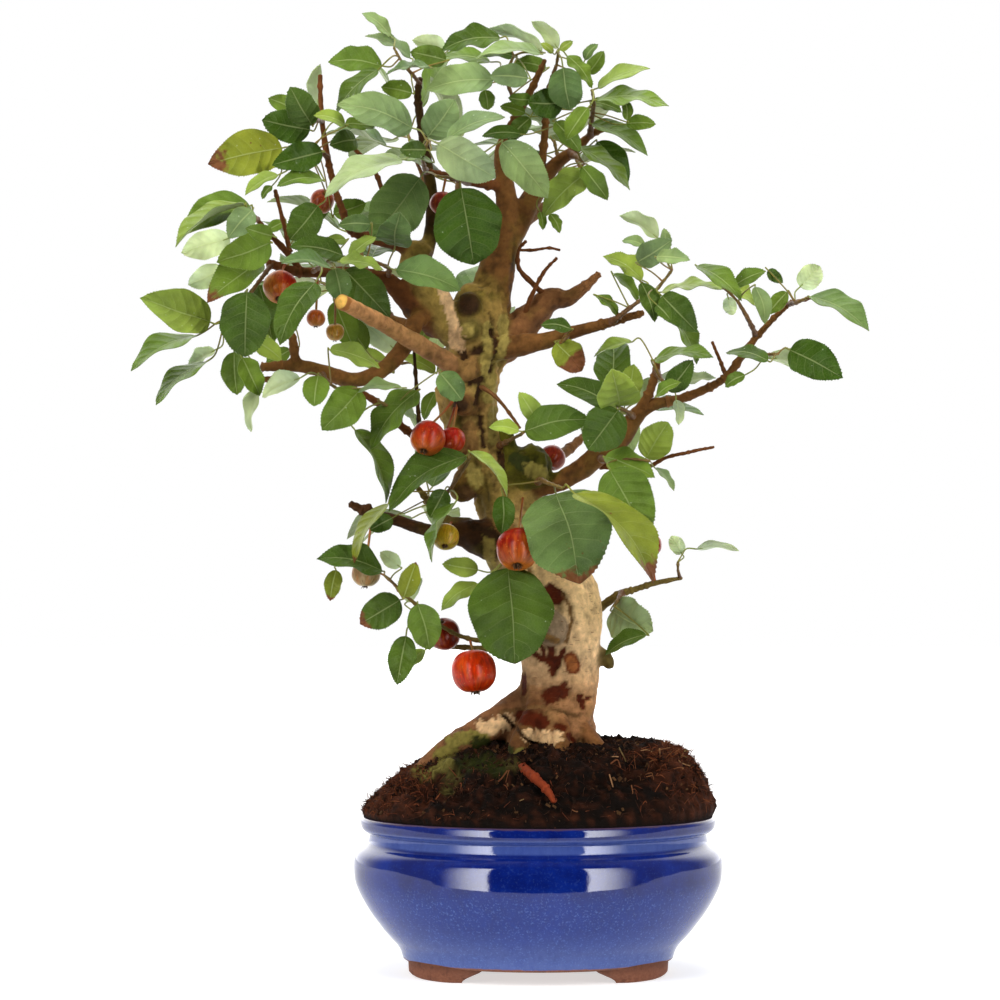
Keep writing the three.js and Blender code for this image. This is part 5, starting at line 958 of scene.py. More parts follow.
# Marks on the front of the wood: places on the grid joined by a line, its half width,
# lift in mm, colour and raggedness. Those in the shade colours are painted shade.
STAINS = [
    # scars of the lower trunk
    ([(549, 592), (557, 597)], 7.5, -0.5, BROWN, 0.4), ([(551, 644), (553, 672)], 4, -0.6, BROWN, 0.5),
    ([(530, 650), (541, 659), (551, 662)], 2.8, -0.5, BROWN, 0.5),
    ([(564, 649), (556, 668)], 2.8, -0.5, BROWN, 0.5), ([(541, 646), (545, 656)], 1.8, -0.4, BROWN, 0.5),
    ([(571, 659), (573, 667)], 7.5, -0.2, RUST, 0.12), ([(571, 660), (573, 666)], 5, 0.5, KNOT, 0.12),
    ([(549, 696), (562, 691)], 8, -0.4, BROWN, 0.4), ([(553, 690), (558, 692)], 4.5, 1.0, BROWN, 0.2),
    ([(580, 696), (583, 708)], 2.6, -0.4, BROWN, 0.5), ([(583, 701), (590, 697)], 2.2, -0.4, BROWN, 0.5),
    ([(524, 716), (542, 722)], 8, -0.4, BROWN, 0.35), ([(524, 676), (524, 694)], 2.4, -0.3, BROWN, 0.4),
    ([(557, 726), (564, 728)], 3, -0.4, BROWN, 0.5), ([(569, 735), (575, 741)], 3, -0.3, BROWN, 0.5),
    ([(551, 627), (552, 629)], 17, 1.0, WEATHERED, 0.12), ([(549, 616), (550, 617)], 2.2, -1.0, CRACK_SHADE, 0.1),
    ([(543, 634), (556, 640)], 3, -0.3, WARM, 0.3),
    ([(563, 594), (570, 606), (572, 622), (566, 642)], 1.8, -0.9, CREASE_SHADE, 0.1),
    ([(484, 728), (506, 722)], 8, 0.3, PALE, 0.6), ([(528, 736), (556, 738)], 7, 0.3, PALE, 0.6),
    ([(504, 716), (516, 728), (530, 742), (548, 750)], 2, -1.6, CRACK_SHADE, 0.2),
    ([(500, 712), (540, 706), (578, 716)], 1.6, -0.8, CREASE_SHADE, 0.3),
    ([(452, 742), (470, 736), (484, 740)], 7, 0.3, MOSS, 0.5), ([(440, 755), (452, 752)], 8, 0.4, MOSS, 0.5),
    ([(480, 745), (505, 752)], 9, 0.3, MOSS_IN_DEEP_SHADE, 0.5), ([(462, 762), (500, 768)], 8, 0.3, MOSS_IN_DEEP_SHADE, 0.5),
    ([(520, 752), (545, 756)], 5, 0.2, MOSS, 0.5),
    # up the trunk
    ([(489, 535), (489, 566)], 6.5, 0, ALGAE, 0.4),
    ([(466, 304), (470, 306)], 9, -1.6, CRACK_SHADE, 0.2), ([(465, 331), (468, 331)], 7, 0.8, ALGAE, 0.3),
    ([(488, 326), (488, 354)], 5, 0.8, ALGAE, 0.4), ([(486, 352), (490, 398)], 7, 0.4, ALGAE, 0.4),
    ([(466, 358), (467, 372)], 9, 0.5, WARM, 0.2), ([(459, 405), (462, 405)], 7, -0.8, CRACK_SHADE, 0.2),
    ([(472, 352), (480, 350)], 4, -1.6, CRACK_SHADE, 0.4), ([(455, 326), (455, 343)], 6, 0.4, PALE, 0.3),
    ([(460, 348), (464, 356)], 4, -1.2, CRACK_SHADE, 0.4), ([(480, 388), (477, 404)], 2.6, -1.2, CRACK_SHADE, 0.4),
    ([(492, 330), (496, 352), (490, 372)], 2.2, -1.2, CRACK_SHADE, 0.4),
    ([(470, 384), (482, 380)], 3, -1.2, CRACK_SHADE, 0.5), ([(452, 386), (462, 390)], 3, -1.2, CRACK_SHADE, 0.5),
    ([(470, 430), (470, 452)], 9, 0.4, WARM, 0.4),
    ([(492, 410), (493, 440)], 4.5, 0.2, ALGAE, 0.4), ([(481, 416), (484, 446)], 2.2, -1.0, CRACK_SHADE, 0.5),
    ([(472, 462), (476, 482)], 8, 0.4, ALGAE, 0.4), ([(463, 492), (470, 496)], 7, -0.8, CREASE_SHADE, 0.5),
    ([(500, 452), (502, 478)], 3, -1.2, CRACK_SHADE, 0.5), ([(516, 458), (526, 466)], 8, 0.6, MOSS_IN_DEEP_SHADE, 0.4),
    ([(532, 470), (542, 474)], 8, 0.5, MOSS, 0.4), ([(501, 524), (510, 532)], 9, 0.5, WARM, 0.3),
    ([(517, 565), (517, 602)], 5, 0.2, ALGAE, 0.4), ([(536, 520), (544, 552)], 3, -0.8, CREASE_SHADE, 0.5),
    ([(436, 272), (446, 298), (455, 324), (461, 346)], 5.5, 0.2, PALE, 0.5),
    ([(503, 318), (504, 344), (498, 362)], 5, 0.2, ALGAE, 0.55),
    ([(528, 566), (536, 592)], 2.4, -0.6, CREASE_SHADE, 0.5), ([(470, 524), (500, 538)], 4, -0.8, CRACK_SHADE, 0.5),
]
# Limbs of at least this radius grow together into one skin, made of cells of this size, in mm.
THICK = 2.9
VOXEL = 1.25
LIMB_SPACING = 1.6
LIMB_SIDES = 36
TWIG_SIDES = 12
CUT_SIDES = 28
FAR = 1e9


def limb_colour(part, centres):
    if part["skin"] != "trunk":
        # the sawn branch is palest at its end
        shade = np.linspace(0.5, 1.5, len(centres)) if part["skin"] == "sawn" else np.ones(len(centres))
        return paint(*SKINS[part["skin"]]) * shade[:, None]
    rows = seen_at(centres)[1]
    stops = [row for row, _ in TRUNK_SKIN]
    colours = np.array([linear(*colour) for _, colour in TRUNK_SKIN])
    return np.stack([np.interp(rows, stops, colours[:, k]) for k in range(3)], 1)


def fuse(shape):
    """The thick limbs grown together into one skin."""
    obj = solid_object("fusing", np.concatenate(shape.points), shape.faces)
    remesh = obj.modifiers.new("grow", "REMESH")
    remesh.mode = "VOXEL"
    remesh.voxel_size = VOXEL
    soften = obj.modifiers.new("soften", "SMOOTH")
    soften.factor = 0.5
    soften.iterations = 3
    return settled(obj)


def nearest_skin(points, lines):
    """At each point, the colour and thickness of the wood, blended from the limbs that are near."""
    total = np.zeros(len(points))
    colour = np.zeros((len(points), 3))
    thickness = np.zeros(len(points))
    for centres, radii, colours in lines:
        best = np.full(len(points), FAR)
        tint = np.zeros((len(points), 3))
        thick = np.zeros(len(points))
        for centre, radius, hue in zip(centres[::2], radii[::2], colours[::2]):
            off = np.linalg.norm(points - centre, axis=1) - radius
            nearer = off < best
            best[nearer] = off[nearer]
            tint[nearer] = hue
            thick[nearer] = radius
        weight = np.exp(-np.clip(best, -1, 12) * 1.3)
        total += weight
        colour += tint * weight[:, None]
        thickness += thick * weight
    return colour / total[:, None], thickness / total


def off_line(columns, rows, places):
    """How far seen points are from a line through places on the grid."""
    best = np.full(len(columns), FAR)
    for (column, row), (next_column, next_row) in zip(places, places[1:]):
        wide, high = next_column - column, next_row - row
        share = ((columns - column) * wide + (rows - row) * high) / (wide**2 + high**2)
        share = np.clip(share, 0, 1)
        best = np.minimum(best, np.hypot(columns - column - share * wide, rows - row - share * high))
    return best


def trunk_surface(points, normals, lines):
    """Bark lumps, flutes and cracks, and the marks on the front."""
    colour, thick = nearest_skin(points, lines)
    columns, rows = seen_at(points)
    gnarl = np.interp(rows, [280, 320, 480, 520, 560, 700, 760], [0.9, 1.6, 1.6, 1.2, 0.5, 0.6, 1.3])
    size = np.clip((thick - 2.5) / 12, 0.12, 1)
    fluted = fractal(points * np.array([1, 1, 0.28]), 8, 3)
    lumps = fractal(points, 10, 3)
    fine = fractal(points, 3.2, 3)
    lift = size * gnarl * (1.2 * lumps + 0.9 * fluted) + (0.14 + 0.3 * size * gnarl) * fine
    # painted shade: the hollows are darker, and the lumps lighter where they rise
    shaded_hollow = np.clip(-0.2 - 0.9 * lumps - 0.7 * fluted - 0.5 * fine, 0, 1)
    depth = np.interp(rows, [480, 560, 600, 700, 750], [0.9, 0.7, 0.35, 0.4, 1.2]) * (0.25 + 0.75 * size)
    shade = np.clip(depth * shaded_hollow, 0, 0.8)
    colour = colour * (1 + 0.25 * lumps + 0.3 * fine)[:, None] * (1 - shade)[:, None]
    # green patches, most on the upper trunk and by the root, and more on thick limbs
    greenness = np.interp(rows, [300, 560, 640, 760], [0.55, 0.45, 0.06, 0.35])
    green = (np.clip(fractal(points + 40, 16, 3) * 2.2, 0, 1) * greenness * size**0.5)[:, None]
    colour = colour * (1 - 0.6 * green) + paint(92, 94, 26) * 0.6 * green
    # painted shade: the left flank is darker than the right one
    middle = np.interp(rows, [560, 600, 690, 740], [530, 556, 566, 540])
    left_flank_shade = np.interp(columns - middle, [-28, 24], [0.42, -0.06])
    colour = colour * (1 - left_flank_shade * np.interp(rows, [560, 600], [0, 1]))[:, None]
    front = np.clip(-normals[:, 1] * 2.5 + 0.6, 0, 1) * (points[:, 1] < 6)
    ragged = fractal(points + 90, 2.6, 3)
    for places, wide, rise, hue, rag in STAINS:
        off = off_line(columns, rows, places) / wide + rag * ragged
        share = ease(np.clip((1.1 - off) / 0.22, 0, 1) * front)
        stain = paint(*hue) * (1 + 0.4 * fine)[:, None]
        colour = colour * (1 - share[:, None]) + stain * share[:, None]
        lift = lift + rise * share
        rim = np.exp(-((off - 1.08) / 0.14) ** 2) * front
        lift = lift + 0.22 * rim * (rag < 0.45)
        colour = colour * (1 - 0.25 * rim * (rag > 0.15))[:, None]
    return points + normals * lift[:, None], np.clip(colour, NEVER_BLACK, 1)


def add_twig(wood, centres, radii, colour, number):
    """A thin limb, or a limb's thin end, which swells at its old bud scars."""
    length = np.linalg.norm(np.diff(centres, axis=0), axis=1).sum()
    places = np.linspace(0, 1, max(8, int(length / 0.9)))
    place = places * length
    scars = np.maximum(0, np.sin(place * 0.62 + number)) ** 8 * 0.26 + 0.06 * np.sin(place * 1.7)
    slim = np.interp(places, np.linspace(0, 1, len(radii)), radii) * (0.9 + scars)
    hue = colour * (1 + 0.5 * scars)[:, None] * np.linspace(1, 1.1, len(places))[:, None]
    tube(wood, smooth_line(centres, places), slim, TWIG_SIDES, 0, hue, rough=0.28)


def grow_wood(bark):
    thick_wood = Shape()
    wood = Shape()
    lines = []
    for part in WOOD:
        centres, radii, t, _ = limb_line(part["route"], LIMB_SPACING)
        colours = limb_colour(part, centres)
        bumps = part["bumps"]
        thick = np.flatnonzero(radii >= THICK)
        start = 0
        if len(thick) > 2:
            lines.append((centres, radii, colours))
            stretch = slice(thick[0], thick[-1] + 2)
            run = t[stretch][:, None]
            tube(thick_wood, centres[stretch], radii[stretch], LIMB_SIDES,
                 swell=lambda a: bumps / 2 * (np.sin(3 * a + 23 * run) + np.sin(5 * a - 37 * run + 1)))
            start = max(0, thick[-1] - 2)
        if start < len(centres) - 4:
            add_twig(wood, centres[start:], radii[start:], colours[-1], len(lines))
    points, normals, faces = fuse(thick_wood)
    points, colours = trunk_surface(points, normals, lines)
    rows = seen_at(points)[1]
    smoothness = np.interp(rows, [480, 580, 620, 740], [0, 0.5, 1, 0.6])
    mark = np.stack([smoothness, np.zeros(len(points)), np.zeros(len(points))], 1)
    wood.add(points, faces, 0, colours, mark)
    cut_face(wood)
    piece("tree", wood, [bark], ["trunk_and_branches"])


def cut_face(wood):
    """The sawn branch's flat end: a rim of bark and dry pale wood with rings."""
    route = next(part["route"] for part in WOOD if part["skin"] == "sawn")
    centres, radii, _, _ = limb_line(route, LIMB_SPACING)
    ahead = unit(centres[-1] - centres[-3])
    end = centres[-1] + ahead * 0.55 * radii[-1]
    side = unit(np.cross(ahead, UP))
    other = np.cross(side, ahead)
    angles = round_angles(CUT_SIDES)
    wobble = 1 + 0.04 * np.sin(3 * angles) + 0.03 * np.sin(5 * angles + 1)
    pale, bark = paint(222, 176, 92), paint(150, 100, 56)
    rings = []
    tints = []
    # each ring's share of the radius, its way out and its colour; the last one closes the face
    for share, out, tint in ((0.9, -5, bark), (1.0, -2.5, bark), (1.02, 0, bark), (0.97, 0.4, bark),
                             (0.9, 0.42, pale * 0.75), (0.6, 0.5, pale), (0.3, 0.45, pale * 1.05),
                             (0.06, 0.4, pale * 0.85), (0, 0.4, pale * 0.8)):
        reach = (radii[-1] * share * wobble)[:, None]
        rings.append(end + ahead * out + side * np.cos(angles)[:, None] * reach
                     + other * np.sin(angles)[:, None] * reach)
        tints.append(np.repeat(tint[None], len(angles), 0))
    wood.add(np.concatenate(rings), grid_faces(len(rings), len(angles), closed=True), 0,
             np.concatenate(tints), (0, 0, 1))


# ------------------------------------------------------------------ crabapples
# Where the sunny side of some apples is. The others have it above, on a side that chance gives.
SUNNY_SIDES = {
    "fruit_left": (0.9, -0.2, 0.3), "fruit_front": (-0.5, -0.1, 0.8), "fruit_cluster_left": (0.2, -0.2, 0.9),
}
APPLE_RINGS = 45
APPLE_SIDES = 48
STALK_RINGS = 22
STALK_SIDES = 8
# Height and radius of an apple from its blossom end to its stalk, as shares of its radius.
APPLE_PROFILE = [
    (-0.80, 0.05), (-0.84, 0.13), (-0.90, 0.22), (-0.93, 0.34), (-0.88, 0.50), (-0.76, 0.68), (-0.56, 0.86),
    (-0.30, 0.98), (0, 1.02), (0.28, 0.985), (0.52, 0.88), (0.72, 0.71), (0.84, 0.52), (0.885, 0.34),
    (0.86, 0.20), (0.78, 0.11), (0.66, 0.04)]


def apple_place(fruit):
    """Where an apple stands in the part: its middle, the way its stalk leaves, and its hook."""
    corners = node_points(fruit["name"])
    column, row, depth = fruit["centre"]
    hook = at(fruit["root"])
    radius = fruit["radius"] * GRID
    for shift in SHIFTS:
        middle = at((column, row, depth + shift))
        up = unit(hook - middle)
        up[2] += -0.6 if up[2] < 0 else 0.6
        up = unit(up)
        if standing(corners, [middle - up * 0.98 * radius]):
            return middle, up, hook
    raise ValueError(fruit["name"] + " isn't found in the part")


def hang_apples(apple, stalk):
    for fruit in FRUITS:
        luck = random.Random(fruit["name"])
        middle, up, hook = apple_place(fruit)
        radius = fruit["radius"] * GRID
        side = unit(FRONT + up * up[1])
        other = np.cross(up, side)
        shape = Shape()
        profile = smooth_line([(h, r, 0) for h, r in APPLE_PROFILE], np.linspace(0, 1, APPLE_RINGS))
        angles = round_angles(APPLE_SIDES)
        ribs = 1 + 0.012 * np.sin(5 * angles + luck.uniform(0, 6)) + 0.01 * np.sin(2 * angles)
        lumps = 1 + 0.025 * np.sin(2 * angles + 3 * profile[:, :1] + luck.uniform(0, 6))
        reach = profile[:, 1:2] * ribs * lumps * radius
        lean = 0.03 * np.sin(angles + luck.uniform(0, 6))
        height = (profile[:, :1] + lean * (profile[:, :1] > 0)) * radius
        points = (middle + up * height[..., None] + side * (np.cos(angles) * reach)[..., None]
                  + other * (np.sin(angles) * reach)[..., None])
        sunny, shaded = paint(*fruit["sunny"]), paint(*fruit["shaded"])
        facing = unit(np.array(SUNNY_SIDES.get(fruit["name"], (luck.uniform(-0.5, 0.2), -0.35, 0.9))))
        blush = fractal(points.reshape(-1, 3), 5, 3).reshape(points.shape[:2])
        lit = np.clip(((points - middle) / radius) @ facing * 0.75 + 0.5 + 0.45 * blush, 0, 1)[..., None]
        tints = shaded + (sunny - shaded) * lit**0.8
        # the streaks are read round the apple and along it
        local = np.stack([np.cos(angles) * np.ones_like(height), np.sin(angles) * np.ones_like(height),
                          height / radius * 0.3 + luck.uniform(0, 9)], -1)
        shape.add(points, grid_faces(len(profile), len(angles), closed=True), 0, tints.reshape(-1, 3),
                  local.reshape(-1, 3), np.repeat(profile[:, 1], len(angles)))
        calyx(shape, middle, up, side, other, radius, luck)
        add_stalk(shape, middle, up, hook, radius)
        piece(fruit["name"].replace("fruit", "apple"), shape, [apple, stalk], [fruit["name"]])


def add_stalk(shape, middle, up, hook, radius):
    crown = middle + up * 0.6 * radius
    knots = [crown, crown + up * 0.45 * radius, crown + (hook - crown) * 0.55 + up * 0.12 * radius, hook]
    places = np.linspace(0, 1, STALK_RINGS)
    thick = np.interp(places, [0, 0.15, 0.85, 1], [0.75, 0.62, 0.7, 1.1])
    near, far = paint(122, 118, 52), paint(140, 62, 36)
    hue = near + (far - near) * np.linspace(0.2, 1, STALK_RINGS)[:, None]
    tube(shape, smooth_line(knots, places), thick, STALK_SIDES, 1, hue)


def calyx(shape, middle, up, side, other, radius, luck):
    """Five dry sepals and a tuft of old stamens at the blossom end."""
    end = middle - up * 0.84 * radius
    for number in range(5):
        angle = number / 5 * TURN + luck.uniform(-0.2, 0.2)
        out = side * math.cos(angle) + other * math.sin(angle)
        spread = luck.uniform(0.12, 0.3) * radius
        knots = [end + out * 0.1 * radius, end + out * 0.16 * radius - up * 0.12 * radius,
                 end + out * spread - up * luck.uniform(0.2, 0.3) * radius]
        line = smooth_line(knots, np.linspace(0, 1, 7))
        tube(shape, line, np.array([0.09, 0.11, 0.11, 0.1, 0.08, 0.05, 0.015]) * radius, 6, 1,
             linear(66, 44, 24), squash=0.4)
    for _ in range(7):
        angle = luck.uniform(0, 6.3)
        out = side * math.cos(angle) + other * math.sin(angle)
        knots = [end + out * 0.03 * radius + up * 0.03 * radius, end + out * 0.1 * radius - up * 0.2 * radius]
        tube(shape, smooth_line(knots, np.linspace(0, 1, 3)), [0.02 * radius] * 3, 4, 1, linear(70, 50, 32))


# ------------------------------------------------------------------ soil
SOIL_HALF = 97.6  # half the width of the mound, where it lies on the rim
SOIL_TURNS = 300
CHIPS = 1500
STRAWS = 44
FIBRES = 3600
CHIP_COLOURS = [(70, 42, 26), (48, 28, 18), (34, 20, 13), (58, 32, 20), (40, 26, 18), (104, 74, 48)]
STRAW_COLOURS = [(120, 80, 52), (156, 116, 80), (100, 60, 38), (110, 90, 58)]
RIM_FIBRE_COLOURS = [(96, 50, 30), (78, 40, 24), (116, 66, 40), (52, 30, 20)]
FIBRE_COLOURS = [(50, 30, 20), (36, 22, 15), (84, 56, 36)]
# Radius and height of the soil's rings below the mound: on the rim, then down inside the pot.
SOIL_EDGE = ((96.0, RIM_HEIGHT + 0.4), (91.0, RIM_HEIGHT + 0.4), (91.0, 70.0))
# Moss on the soil: column, row, reach and colour; the darker colours are painted shade.
TUFTS = [
    (424, 772, 12, MOSS), (440, 762, 14, MOSS), (452, 776, 12, MOSS_IN_HALF_SHADE), (466, 764, 12, MOSS_IN_DEEP_SHADE),
    (484, 762, 14, MOSS_IN_DEEP_SHADE), (500, 768, 10, MOSS_IN_DEEP_SHADE), (446, 790, 8, MOSS_IN_HALF_SHADE), (512, 764, 9, MOSS_IN_HALF_SHADE),
]


def mound(share, angle):
    """The height of the mound at a share of its half width, in a direction from its middle."""
    rightward = np.cos(angle)
    steepness = 4.3 + np.where(rightward > 0, 5.7, 1.3) * rightward
    return RIM_HEIGHT + 2.5 + (SOIL_RISE - 2.5) * (1 - share**steepness)


def mound_points(share, angle):
    return oval(SOIL_HALF * share, mound(share, angle), angle)


def heap_soil(soil):
    luck = random.Random(7)
    turns = SOIL_TURNS
    angles = round_angles(turns)
    shares = np.concatenate([[0.02], np.linspace(0.06, 0.8, 34), np.linspace(0.815, 0.992, 34)])
    share, angle = np.meshgrid(shares, angles, indexing="ij")
    top = mound_points(share, angle)
    step = 0.01
    steep = mound_points(np.minimum(0.998, share + step), angle) - mound_points(share - step, angle)
    level = np.stack([-np.sin(angle), np.cos(angle) * POT_DEPTH_RATIO, np.zeros_like(angle)], -1)
    normals = np.cross(level, -steep)
    normals /= np.linalg.norm(normals, axis=-1)[..., None]
    normals *= np.sign(normals[..., 2:3] + 1e-9)
    flat = top.reshape(-1, 3)
    crumbs = np.abs(fractal(flat, 3.6, 4)) * 3.6 + fractal(flat, 11, 3) * 4.4 - 1.2
    edge = np.interp(share.ravel(), [0, 0.9, 0.992], [1, 1, 0.35])
    points = flat + normals.reshape(-1, 3) * (crumbs * edge)[:, None]
    dark, light = paint(10, 6, 4), paint(72, 39, 25)
    edge_on = np.clip((np.abs(np.cos(angle.ravel())) - 0.55) / 0.35, 0, 1) * (share.ravel() > 0.7)
    amount = np.clip(0.1 + 0.6 * fractal(flat + 30, 5, 3) + 0.5 * edge_on, 0, 1)[:, None] ** 1.3
    tints = dark + (light - dark) * amount
    columns, rows = seen_at(points)
    front = points[:, 1] < 10
    blotches, sprigs = fractal(points + 9, 3, 2), fractal(points + 5, 1.6, 3)
    for column, row, reach, hue in TUFTS:
        off = np.hypot(columns - column, (rows - row) * 1.3) / reach + 0.5 * blotches
        green = (np.clip((1.1 - off) * 2.2, 0, 1) * front * 0.85)[:, None]
        moss = paint(*hue) * (1 + 0.8 * sprigs)[:, None]
        tints = tints * (1 - green) + moss * green
    tints = np.clip(tints, NEVER_BLACK, 1)
    shape = Shape()
    rings = np.concatenate([points, *(oval(radius, height, angles) for radius, height in SOIL_EDGE)])
    tints = np.concatenate([tints, np.repeat(dark[None], len(SOIL_EDGE) * turns, 0)])
    shape.add(rings, grid_faces(len(shares) + len(SOIL_EDGE), turns, closed=True), 0, tints)
    centre = np.array([[0, 0, RIM_HEIGHT + SOIL_RISE + 0.2]])
    side = np.arange(turns)
    fan = np.stack([np.zeros(turns, int), side + 1, (side + 1) % turns + 1], 1)
    shape.add(np.concatenate([centre, points[:turns]]), fan, 0, dark)
    scatter(shape, luck)
    piece("compost", shape, [soil], ["soil"])


def scatter(shape, luck):
    """Bark chips, straws and root fibres over the mound."""
    for _ in range(CHIPS):
        share, angle = math.sqrt(luck.uniform(0.05, 0.985)), luck.uniform(0, TURN)
        place = mound_points(np.float64(share), np.float64(angle))
        chip(shape, place, luck, luck.uniform(0.8, 3.4), luck.choice(CHIP_COLOURS))
    for _ in range(STRAWS):
        angle = luck.gauss(-0.6, 0.5) if luck.random() < 0.6 else luck.uniform(0, TURN)
        place = mound_points(np.float64(luck.uniform(0.72, 0.97)), np.float64(angle))
        straw(shape, place, luck)
    for _ in range(FIBRES):
        rim = luck.random() < 0.55
        share = luck.uniform(0.7, 0.99) if rim else math.sqrt(luck.uniform(0.1, 0.97))
        # most of them stick out of the two ends
        angle = luck.gauss(0, 0.55) + math.pi * (luck.random() < 0.5) if rim else luck.uniform(0, TURN)
        place = mound_points(np.float64(share), np.float64(angle))
        fibre(shape, place, angle, luck, rim)


def any_way(luck, spread=1):
    """A direction, or a way off a line, that chance gives."""
    return np.array([luck.gauss(0, spread) for _ in range(3)])


def chip(shape, place, luck, size, hue):
    turn = np.array([any_way(luck) for _ in range(3)])
    axes = np.linalg.qr(turn)[0]
    half = np.array([size, size * luck.uniform(0.4, 0.8), size * luck.uniform(0.2, 0.5)]) / 2
    corners = np.array([[x, y, z] for x in (-1, 1) for y in (-1, 1) for z in (-1, 1)], float)
    corners *= np.array([[luck.uniform(0.6, 1) for _ in range(3)] for _ in range(8)])
    faces = np.array([[0, 1, 3, 2], [4, 6, 7, 5], [0, 4, 5, 1], [2, 3, 7, 6], [0, 2, 6, 4], [1, 5, 7, 3]])
    shape.add(place + (corners * half) @ axes + 0.5 * UP, faces, 0, paint(*hue) * luck.uniform(0.2, 0.8))


def straw(shape, place, luck):
    heading = unit(np.array([luck.gauss(0, 1), luck.gauss(0, 0.6), luck.gauss(0, 0.7)]))
    reach = luck.uniform(4, 10)
    bend = any_way(luck)
    lift = np.array([0, -1.6, 1.0])
    knots = [place - heading * reach / 2 + lift, place + bend + lift, place + heading * reach / 2 + lift]
    hue = paint(*luck.choice(STRAW_COLOURS))
    line = smooth_line(knots, np.linspace(0, 1, 9))
    tube(shape, line, np.full(9, luck.uniform(0.18, 0.42)), 5, 0, hue, rough=0.15)


def fibre(shape, place, angle, luck, rim):
    out = np.array([math.cos(angle), math.sin(angle), luck.uniform(-0.2, 0.8)])
    reach = 3 + 8 * luck.random() ** 2 if rim else luck.uniform(2.5, 5)
    drift = any_way(luck)
    heading = unit(out * (0.9 if rim else 0.2) + drift)
    bend = any_way(luck, 0.8)
    lift = np.array([0, 0, luck.uniform(0.2, 1.2)])
    knots = [place - heading * reach * 0.4, place + lift, place + heading * reach * 0.6 + bend]
    line = smooth_line(knots, np.linspace(0, 1, 6))
    hue = paint(*luck.choice(RIM_FIBRE_COLOURS if rim else FIBRE_COLOURS))
    radii = np.array([0.8, 1, 1, 0.9, 0.7, 0.3]) * luck.uniform(0.07, 0.3 if rim else 0.17)
    tube(shape, line, radii, 3, 0, hue)


# ------------------------------------------------------------------ pot
# Radius and height round the pot's skin, from under its middle over the rim to its floor.
POT_SKIN = [
    (0.1, 7.7), (40, 7.7), (69, 7.7), (72.6, 7.8), (74.0, 8.6), (74.7, 10.4), (75.6, 13),
    (77.6, 16.2), (80.6, 19.4), (84.0, 23.2), (87.2, 27.3), (90.2, 31.2), (92.8, 35), (95.0, 38.6),
    (97.2, 42.6), (98.9, 46.2), (100.2, 49.6), (100.9, 53), (101.2, 56.5), (101.3, 60), (101.0, 63),
    (100.2, 65.4), (98.6, 67.4), (96.6, 69), (94.8, 70.4), (93.6, 71.8), (93.1, 73.4), (92.9, 75.2),
    (92.9, 76.4), (93.3, 77), (94.8, 77.8), (96.4, 79.2), (97.3, 81), (97.6, 83), (97.4, 84.8),
    (96.4, 86), (94.8, 86.2), (93.2, 85.8), (92, 84.6), (91.2, 82), (89.5, 72), (93.5, 64),
    (95.7, 56), (95, 48), (91, 37), (86, 28), (81, 22), (76, 16), (68, 14), (40, 14), (0.1, 14)]
POT_RINGS = 220
POT_TURNS = 168
DRAIN_RADIUS = 7
DRAIN_OFFSET = 30
DRILL_SIDES = 32
DRILL_ENDS = (2, 20)
FOOT_STEPS = 41
FOOT_HEIGHT = 8.5
# How far a foot draws in, by height.
FOOT_INSETS = (
    (0, 3.6), (0.12, 2.9), (0.6, 2.2), (1.4, 1.8), (2.6, 1.5), (4.2, 1.3), (6, 1.1), (7.6, 0.9), (8.5, 0.8),
    (10.5, 1.2))


def bored(points, faces):
    """The pot's skin with its two drain holes cut."""
    body = solid_object("unbored", points, faces)
    drills = []
    angles = round_angles(DRILL_SIDES)
    side = list(range(2 * DRILL_SIDES))
    for x in (-DRAIN_OFFSET, DRAIN_OFFSET):
        rings = np.array([(x + DRAIN_RADIUS * math.cos(a), DRAIN_RADIUS * math.sin(a), z)
                          for z in DRILL_ENDS for a in angles])
        walls = grid_faces(2, DRILL_SIDES, closed=True).tolist()
        drill = solid_object("drill", rings, walls + [side[:DRILL_SIDES][::-1], side[DRILL_SIDES:]])
        cut = body.modifiers.new("cut", "BOOLEAN")
        cut.operation = "DIFFERENCE"
        cut.object = drill
        drills.append(drill)
    left, _, kept = settled(body, *drills)
    return left, kept


def throw_pot(glaze, clay):
    turns = POT_TURNS
    profile = smooth_line([(r, 0, z) for r, z in POT_SKIN], np.linspace(0, 1, POT_RINGS))
    angles = round_angles(turns)
    wobble = 1 + 0.0012 * np.sin(2 * angles + 1) + 0.0008 * np.sin(5 * angles)
    rings = np.stack([np.outer(profile[:, 0], np.cos(angles) * wobble),
                      np.outer(profile[:, 0], np.sin(angles) * wobble) * POT_DEPTH_RATIO,
                      np.repeat(profile[:, 2:], turns, 1)], -1)
    around = grid_faces(len(profile), turns, closed=True)
    # the last ring joins the first, so that the skin is closed and can be bored
    side = np.arange(turns)
    last = (len(profile) - 1) * turns
    middle = np.stack([last + side, last + (side + 1) % turns, (side + 1) % turns, side], 1)
    shape = Shape()
    points, faces = bored(rings.reshape(-1, 3), np.concatenate([around, middle]))
    shape.add(points, faces, 0)
    inner, outer = FOOT_SPAN
    for sign in (1, -1):
        add_foot(shape, sign * inner, sign * outer)
        add_foot(shape, sign * (180 - inner), sign * (180 - outer))
    piece("pot_body", shape, [glaze, clay], ["pot"])


